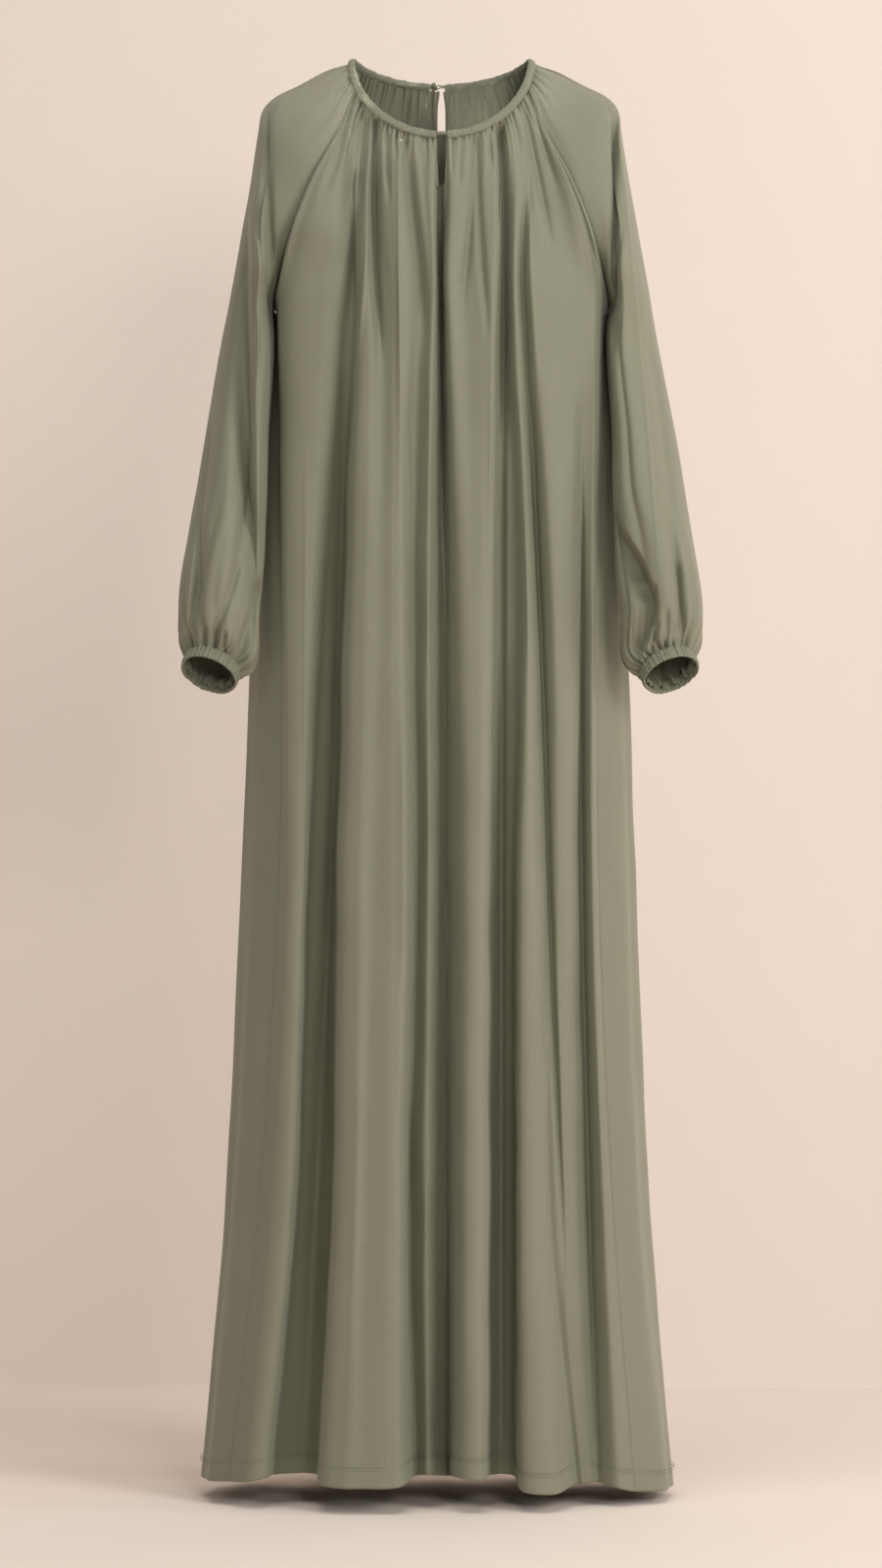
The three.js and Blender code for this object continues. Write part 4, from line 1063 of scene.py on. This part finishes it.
def stitch_row(name, path, normal, length, pitch, radius=0.32):
    """A row of small stitches: at each step along the path a six-sided
    spindle lies on the cloth, all of them in one mesh."""
    step = np.linalg.norm(np.diff(path, axis=0), axis=-1)
    run = np.concatenate([[0], np.cumsum(step)])
    at = np.arange(pitch / 2, run[-1], pitch)
    centre = np.stack([np.interp(at, run, path[:, k]) for k in range(3)], -1)
    ahead = np.stack([np.interp(at + 0.6, run, path[:, k]) for k in range(3)], -1)
    behind = np.stack([np.interp(at - 0.6, run, path[:, k]) for k in range(3)], -1)
    up = unit(np.stack([np.interp(at, run, normal[:, k]) for k in range(3)], -1))
    along = unit(ahead - behind)
    side = unit(np.cross(up, along))
    knots = np.array([-0.5, -0.36, 0.36, 0.5])
    fat = np.array([0.25, 1.0, 1.0, 0.25])
    turn = np.linspace(0, 2 * math.pi, 6, endpoint=False)
    ring = (
        centre[:, None, None]
        + along[:, None, None] * (knots * length)[None, :, None, None]
        + side[:, None, None] * (fat[:, None] * np.cos(turn)[None, :])[None, :, :, None] * radius
        + up[:, None, None] * (fat[:, None] * np.sin(turn)[None, :])[None, :, :, None] * radius
        + up[:, None, None] * 0.12
    )
    count = len(at)
    base = np.arange(count)[:, None] * 24
    faces = []
    for i in range(3):
        for k in range(6):
            n = (k + 1) % 6
            faces.append(base + np.array([[i * 6 + k, i * 6 + n, (i + 1) * 6 + n, (i + 1) * 6 + k]]))
    for i, order in ((0, (0, 3, 4, 5)), (0, (0, 1, 2, 3)), (3, (0, 5, 4, 3)), (3, (0, 3, 2, 1))):
        faces.append(base + np.array([[i * 6 + k for k in order[::-1]]]))
    quads = np.concatenate(faces)
    mesh = bpy.data.meshes.new(name)
    mesh.from_pydata((ring.reshape(-1, 3) / 1000).tolist(), [], quads.tolist())
    obj = bpy.data.objects.new(name, mesh)
    bpy.context.scene.collection.objects.link(obj)
    return obj


def hem_line(table, back, up):
    """A level line on a panel's outer side, up mm above the hem edge."""
    last = len(table) - 1
    j = np.linspace(0.05, last - 0.05, 500)
    t = np.array([1 - (up + 1) / SKIRT_LENGTH, 1 - up / SKIRT_LENGTH, 1 - (up - 1) / SKIRT_LENGTH])
    p = skirt_shape(table, j, t)
    n = grid_normals(p)
    return p[1], n[1] * (1 if back else -1)


class ABAYA_OT_front(Operator):
    """Front panel with its gathers, slit, folds and turned hem"""

    bl_idname = "abaya.front"
    bl_label = "Front"

    def execute(self, context):
        sizes = context.scene.abaya_sizes
        obj = body_panel("front_cloth", FRONT_FOLDS, False, sizes.columns, SLIT_END, 11, 38)
        finish_piece(obj, material_of("crepe"), ["front"])
        return {"FINISHED"}


class ABAYA_OT_back(Operator):
    """Back panel with its gathers, keyhole, folds and turned hem"""

    bl_idname = "abaya.back"
    bl_label = "Back"

    def execute(self, context):
        obj = body_panel("back_cloth", BACK_FOLDS, True, 320, KEYHOLE_END, 23, 26)
        finish_piece(obj, material_of("crepe"), ["back"])
        return {"FINISHED"}


class ABAYA_OT_gores(Operator):
    """Side gores from the underarms to the hem"""

    bl_idname = "abaya.gores"
    bl_label = "Side gores"

    def execute(self, context):
        for name, node_name, table, side, seed in (
            ("gore_cloth_left", "side_left", LEFT_GORE, -1, 31),
            ("gore_cloth_right", "side_right", RIGHT_GORE, 1, 37),
        ):
            obj = gore_panel(name, table, side, seed)
            finish_piece(obj, material_of("crepe"), [node_name])
        return {"FINISHED"}


class ABAYA_OT_sleeves(Operator):
    """Raglan sleeves, gathered at the neck and above the cuffs"""

    bl_idname = "abaya.sleeves"
    bl_label = "Sleeves"

    def execute(self, context):
        for name, node_name, side, seed in (
            ("sleeve_cloth_left", "sleeve_left", -1, 41),
            ("sleeve_cloth_right", "sleeve_right", 1, 47),
        ):
            obj = sleeve_piece(name, side, seed)
            finish_piece(obj, material_of("crepe"), [node_name])
        return {"FINISHED"}


class ABAYA_OT_cuffs(Operator):
    """Elastic cuffs"""

    bl_idname = "abaya.cuffs"
    bl_label = "Cuffs"

    def execute(self, context):
        for name, node_name, side, seed in (
            ("cuff_cloth_left", "cuff_left", -1, 53),
            ("cuff_cloth_right", "cuff_right", 1, 59),
        ):
            obj = cuff_piece(name, side, seed)
            finish_piece(obj, material_of("cuff"), [node_name])
        return {"FINISHED"}


class ABAYA_OT_neck(Operator):
    """Neck binding and front bar"""

    bl_idname = "abaya.neck"
    bl_label = "Neck"

    def execute(self, context):
        left = binding_piece("binding_cloth_left", -173.0, -2.8, 61)
        finish_piece(left, material_of("binding"), ["neck_binding_left"])
        right = binding_piece("binding_cloth_right", 2.8, 178.2, 67)
        finish_piece(right, material_of("binding"), ["neck_binding_right"])
        x = np.linspace(-5.2, 5.2, 25)
        top = neck_point(0.0)
        path = np.stack([x, top[1] - 0.4 + 0 * x, top[2] + 1.5 - 0.02 * x**2], -1)
        fat = 1.9 * np.sqrt(np.clip(1.02 - (x / 5.4) ** 6, 0.02, 1))
        bar = cloth_mesh("front_bar_cloth", tube_points(path, fat, 16), wrap=True)
        finish_piece(bar, material_of("binding"), ["front_bar"])
        return {"FINISHED"}


class ABAYA_OT_closure(Operator):
    """Covered ball button and thread loop at the back of the neck"""

    bl_idname = "abaya.closure"
    bl_label = "Button and loop"

    def execute(self, context):
        centre = np.array([-7.4, NECK_BACK_DEPTH, neck_point(180.0)[2] + 1.2])
        a = np.linspace(0, 2 * math.pi, 48, endpoint=False)
        b = np.linspace(0.02, math.pi - 0.02, 32)
        pucker = np.exp(-((b[:, None] - 2.6) / 0.5) ** 2)
        radius = BUTTON_RADIUS * (1 - 0.02 * np.cos(9 * a)[None, :] * pucker)
        ball = centre + np.stack([
            radius * np.sin(b)[:, None] * np.cos(a)[None, :],
            radius * np.cos(b)[:, None] + 0 * a[None, :],
            radius * np.sin(b)[:, None] * np.sin(a)[None, :],
        ], -1)
        button = cloth_mesh("button_cover", ball, wrap=True)
        finish_piece(button, material_of("button"), ["back_button"])
        reach = BUTTON_RADIUS + LOOP_RADIUS * 0.7
        turn = np.radians(np.linspace(-50, 230, 40))
        ring = centre + np.stack([-np.sin(turn) * reach, 0 * turn, -np.cos(turn) * reach], -1)
        path = np.concatenate([
            [centre + [10.9, 0, -0.75], centre + [6.4, 0, -0.9]], ring,
            [centre + [6.4, 0, 0.9], centre + [10.9, 0, 0.75]],
        ])
        loop = cloth_mesh("loop_thread", tube_points(path, LOOP_RADIUS, 10), wrap=True)
        finish_piece(loop, material_of("thread"), ["back_loop"])
        return {"FINISHED"}


class ABAYA_OT_stitches(Operator):
    """Two rows of stitches round the hem"""

    bl_idname = "abaya.stitches"
    bl_label = "Hem stitches"

    def execute(self, context):
        size = context.scene.abaya_sizes.stitch * 1000
        rows = []
        tables = ((FRONT_FOLDS, False), (BACK_FOLDS, True), (LEFT_GORE, True), (RIGHT_GORE, False))
        for k, (table, back) in enumerate(tables):
            for m, up in enumerate((STITCH_UP, STITCH_UP + 3)):
                path, normal = hem_line(table, back, up)
                rows.append(stitch_row(f"stitches_{k}_{m}", path, normal, size, size + 1.0))
        obj = merge_meshes("hem_stitches", rows)
        finish_piece(obj, material_of("thread"), [])
        return {"FINISHED"}


DAYLIGHT = (1.0, 0.985, 0.965)
# Name, place, aim, width, height, share of the key light's power, colour.
# The narrow one reaches the inside of the back through the neck.
LAMPS = (
    ("neck", (-2.1, -2.3, 1.2), (0.03, 0.045, -0.06), 0.12, 0.06, 0.0006, DAYLIGHT),
    ("key", (3.0, -3.5, 0.9), (0, 0, -0.7), 1.5, 2.6, 0.94, DAYLIGHT),
    ("fill", (-3.3, -3.1, 0.5), (0, 0, -0.7), 1.8, 2.6, 0.14, DAYLIGHT),
    ("overhead", (0, -1.4, 3.0), (0, -0.9, -1.5), 2.6, 2.2, 0.58, DAYLIGHT),
    ("front", (0.95, -5.0, 0.3), (0, 0, -0.6), 0.9, 0.9, 0.46, DAYLIGHT),
    ("rim", (3.2, -0.6, 0.0), (0, 0, -0.7), 0.7, 2.4, 0.2, (1.0, 0.985, 0.96)),
)


class ABAYA_OT_stage(Operator):
    """Floor, wall, lights, air and camera"""

    bl_idname = "abaya.stage"
    bl_label = "Stage"

    def execute(self, context):
        look = context.scene.abaya_look
        distance = 5.5
        wall_y, floor_z, bend = 0.98, -1.466, 0.004
        turn = np.linspace(0, math.pi / 2, 10)
        profile = np.concatenate([
            [[-9.0, floor_z]],
            np.stack([wall_y - bend + bend * np.sin(turn), floor_z + bend - bend * np.cos(turn)], -1),
            [[wall_y, 4.0]],
        ])
        xs = np.array([-7.0, 7.0])
        verts = [(float(x), float(y), float(z)) for x in xs for y, z in profile]
        m = len(profile)
        faces = [(k, m + k, m + k + 1, k + 1) for k in range(m - 1)]
        mesh = bpy.data.meshes.new("stage_room")
        mesh.from_pydata(verts, [], faces)
        mesh.polygons.foreach_set("use_smooth", [True] * len(faces))
        room = bpy.data.objects.new("stage_room", mesh)
        context.scene.collection.objects.link(room)
        mesh.materials.append(plain_material("stage_wall", look.wall_colour, 0.9, 3.0, 0.015))
        floor_colour = [c * 1.12 for c in look.wall_colour]
        mesh.materials.append(plain_material("stage_floor", floor_colour, 0.9, 3.0, 0.015))
        mesh.polygons[0].material_index = 1
        for material in mesh.materials:
            open_from_behind(material)

        for name, place, aim, width, height, share, colour in LAMPS:
            lamp = bpy.data.lights.new(name, "AREA")
            lamp.shape = "RECTANGLE"
            lamp.size, lamp.size_y = width, height
            lamp.energy = look.key_power * share
            lamp.color = colour
            if name == "neck":
                lamp.spread = math.radians(4)
            obj = bpy.data.objects.new(name, lamp)
            obj.location = place
            obj.rotation_euler = (Vector(aim) - Vector(place)).to_track_quat("-Z", "Y").to_euler()
            context.scene.collection.objects.link(obj)
        world = bpy.data.worlds.new("air")
        context.scene.world = world
        world.use_nodes = True
        shade = world.node_tree.nodes["Background"]
        shade.inputs["Color"].default_value = (1.0, 0.97, 0.94, 1)
        shade.inputs["Strength"].default_value = 0.14
        cam = bpy.data.cameras.new("camera")
        cam.sensor_fit = "AUTO"
        cam.sensor_width = 36.0
        cam.lens = 36.0 * distance / 1.6
        eye = bpy.data.objects.new("camera", cam)
        eye.location = (-0.0005, -distance, -0.740)
        eye.rotation_euler = (math.pi / 2, 0, 0)
        context.scene.collection.objects.link(eye)
        context.scene.camera = eye
        context.scene.view_settings.view_transform = "Standard"
        context.scene.view_settings.look = "None"
        return {"FINISHED"}


class ABAYA_PT_panel(Panel):
    """Lists the pieces of the abaya and their settings"""

    bl_idname = "ABAYA_PT_panel"
    bl_label = "Abaya"
    bl_space_type = "VIEW_3D"
    bl_region_type = "UI"
    bl_category = "Abaya"

    def draw(self, context):
        layout = self.layout
        for group in (context.scene.abaya_sizes, context.scene.abaya_look):
            box = layout.box()
            for key in group.bl_rna.properties.keys():
                if key not in ("rna_type", "name"):
                    box.prop(group, key)
        for operator in OPERATORS:
            layout.operator(operator.bl_idname)


OPERATORS = (
    ABAYA_OT_stage,
    ABAYA_OT_front,
    ABAYA_OT_back,
    ABAYA_OT_gores,
    ABAYA_OT_sleeves,
    ABAYA_OT_cuffs,
    ABAYA_OT_neck,
    ABAYA_OT_closure,
    ABAYA_OT_stitches,
)
CLASSES = (AbayaSizes, AbayaLook) + OPERATORS + (ABAYA_PT_panel,)


def register():
    for cls in CLASSES:
        bpy.utils.register_class(cls)
    bpy.types.Scene.abaya_sizes = PointerProperty(type=AbayaSizes)
    bpy.types.Scene.abaya_look = PointerProperty(type=AbayaLook)


def unregister():
    del bpy.types.Scene.abaya_look
    del bpy.types.Scene.abaya_sizes
    for cls in reversed(CLASSES):
        bpy.utils.unregister_class(cls)


def main():
    register()
    bpy.ops.abaya.stage()
    bpy.ops.abaya.cuffs()
    bpy.ops.abaya.neck()
    bpy.ops.abaya.closure()
    bpy.ops.abaya.stitches()
    bpy.ops.abaya.front()
    bpy.ops.abaya.back()
    bpy.ops.abaya.gores()
    bpy.ops.abaya.sleeves()


if __name__ == "__main__":
    main()
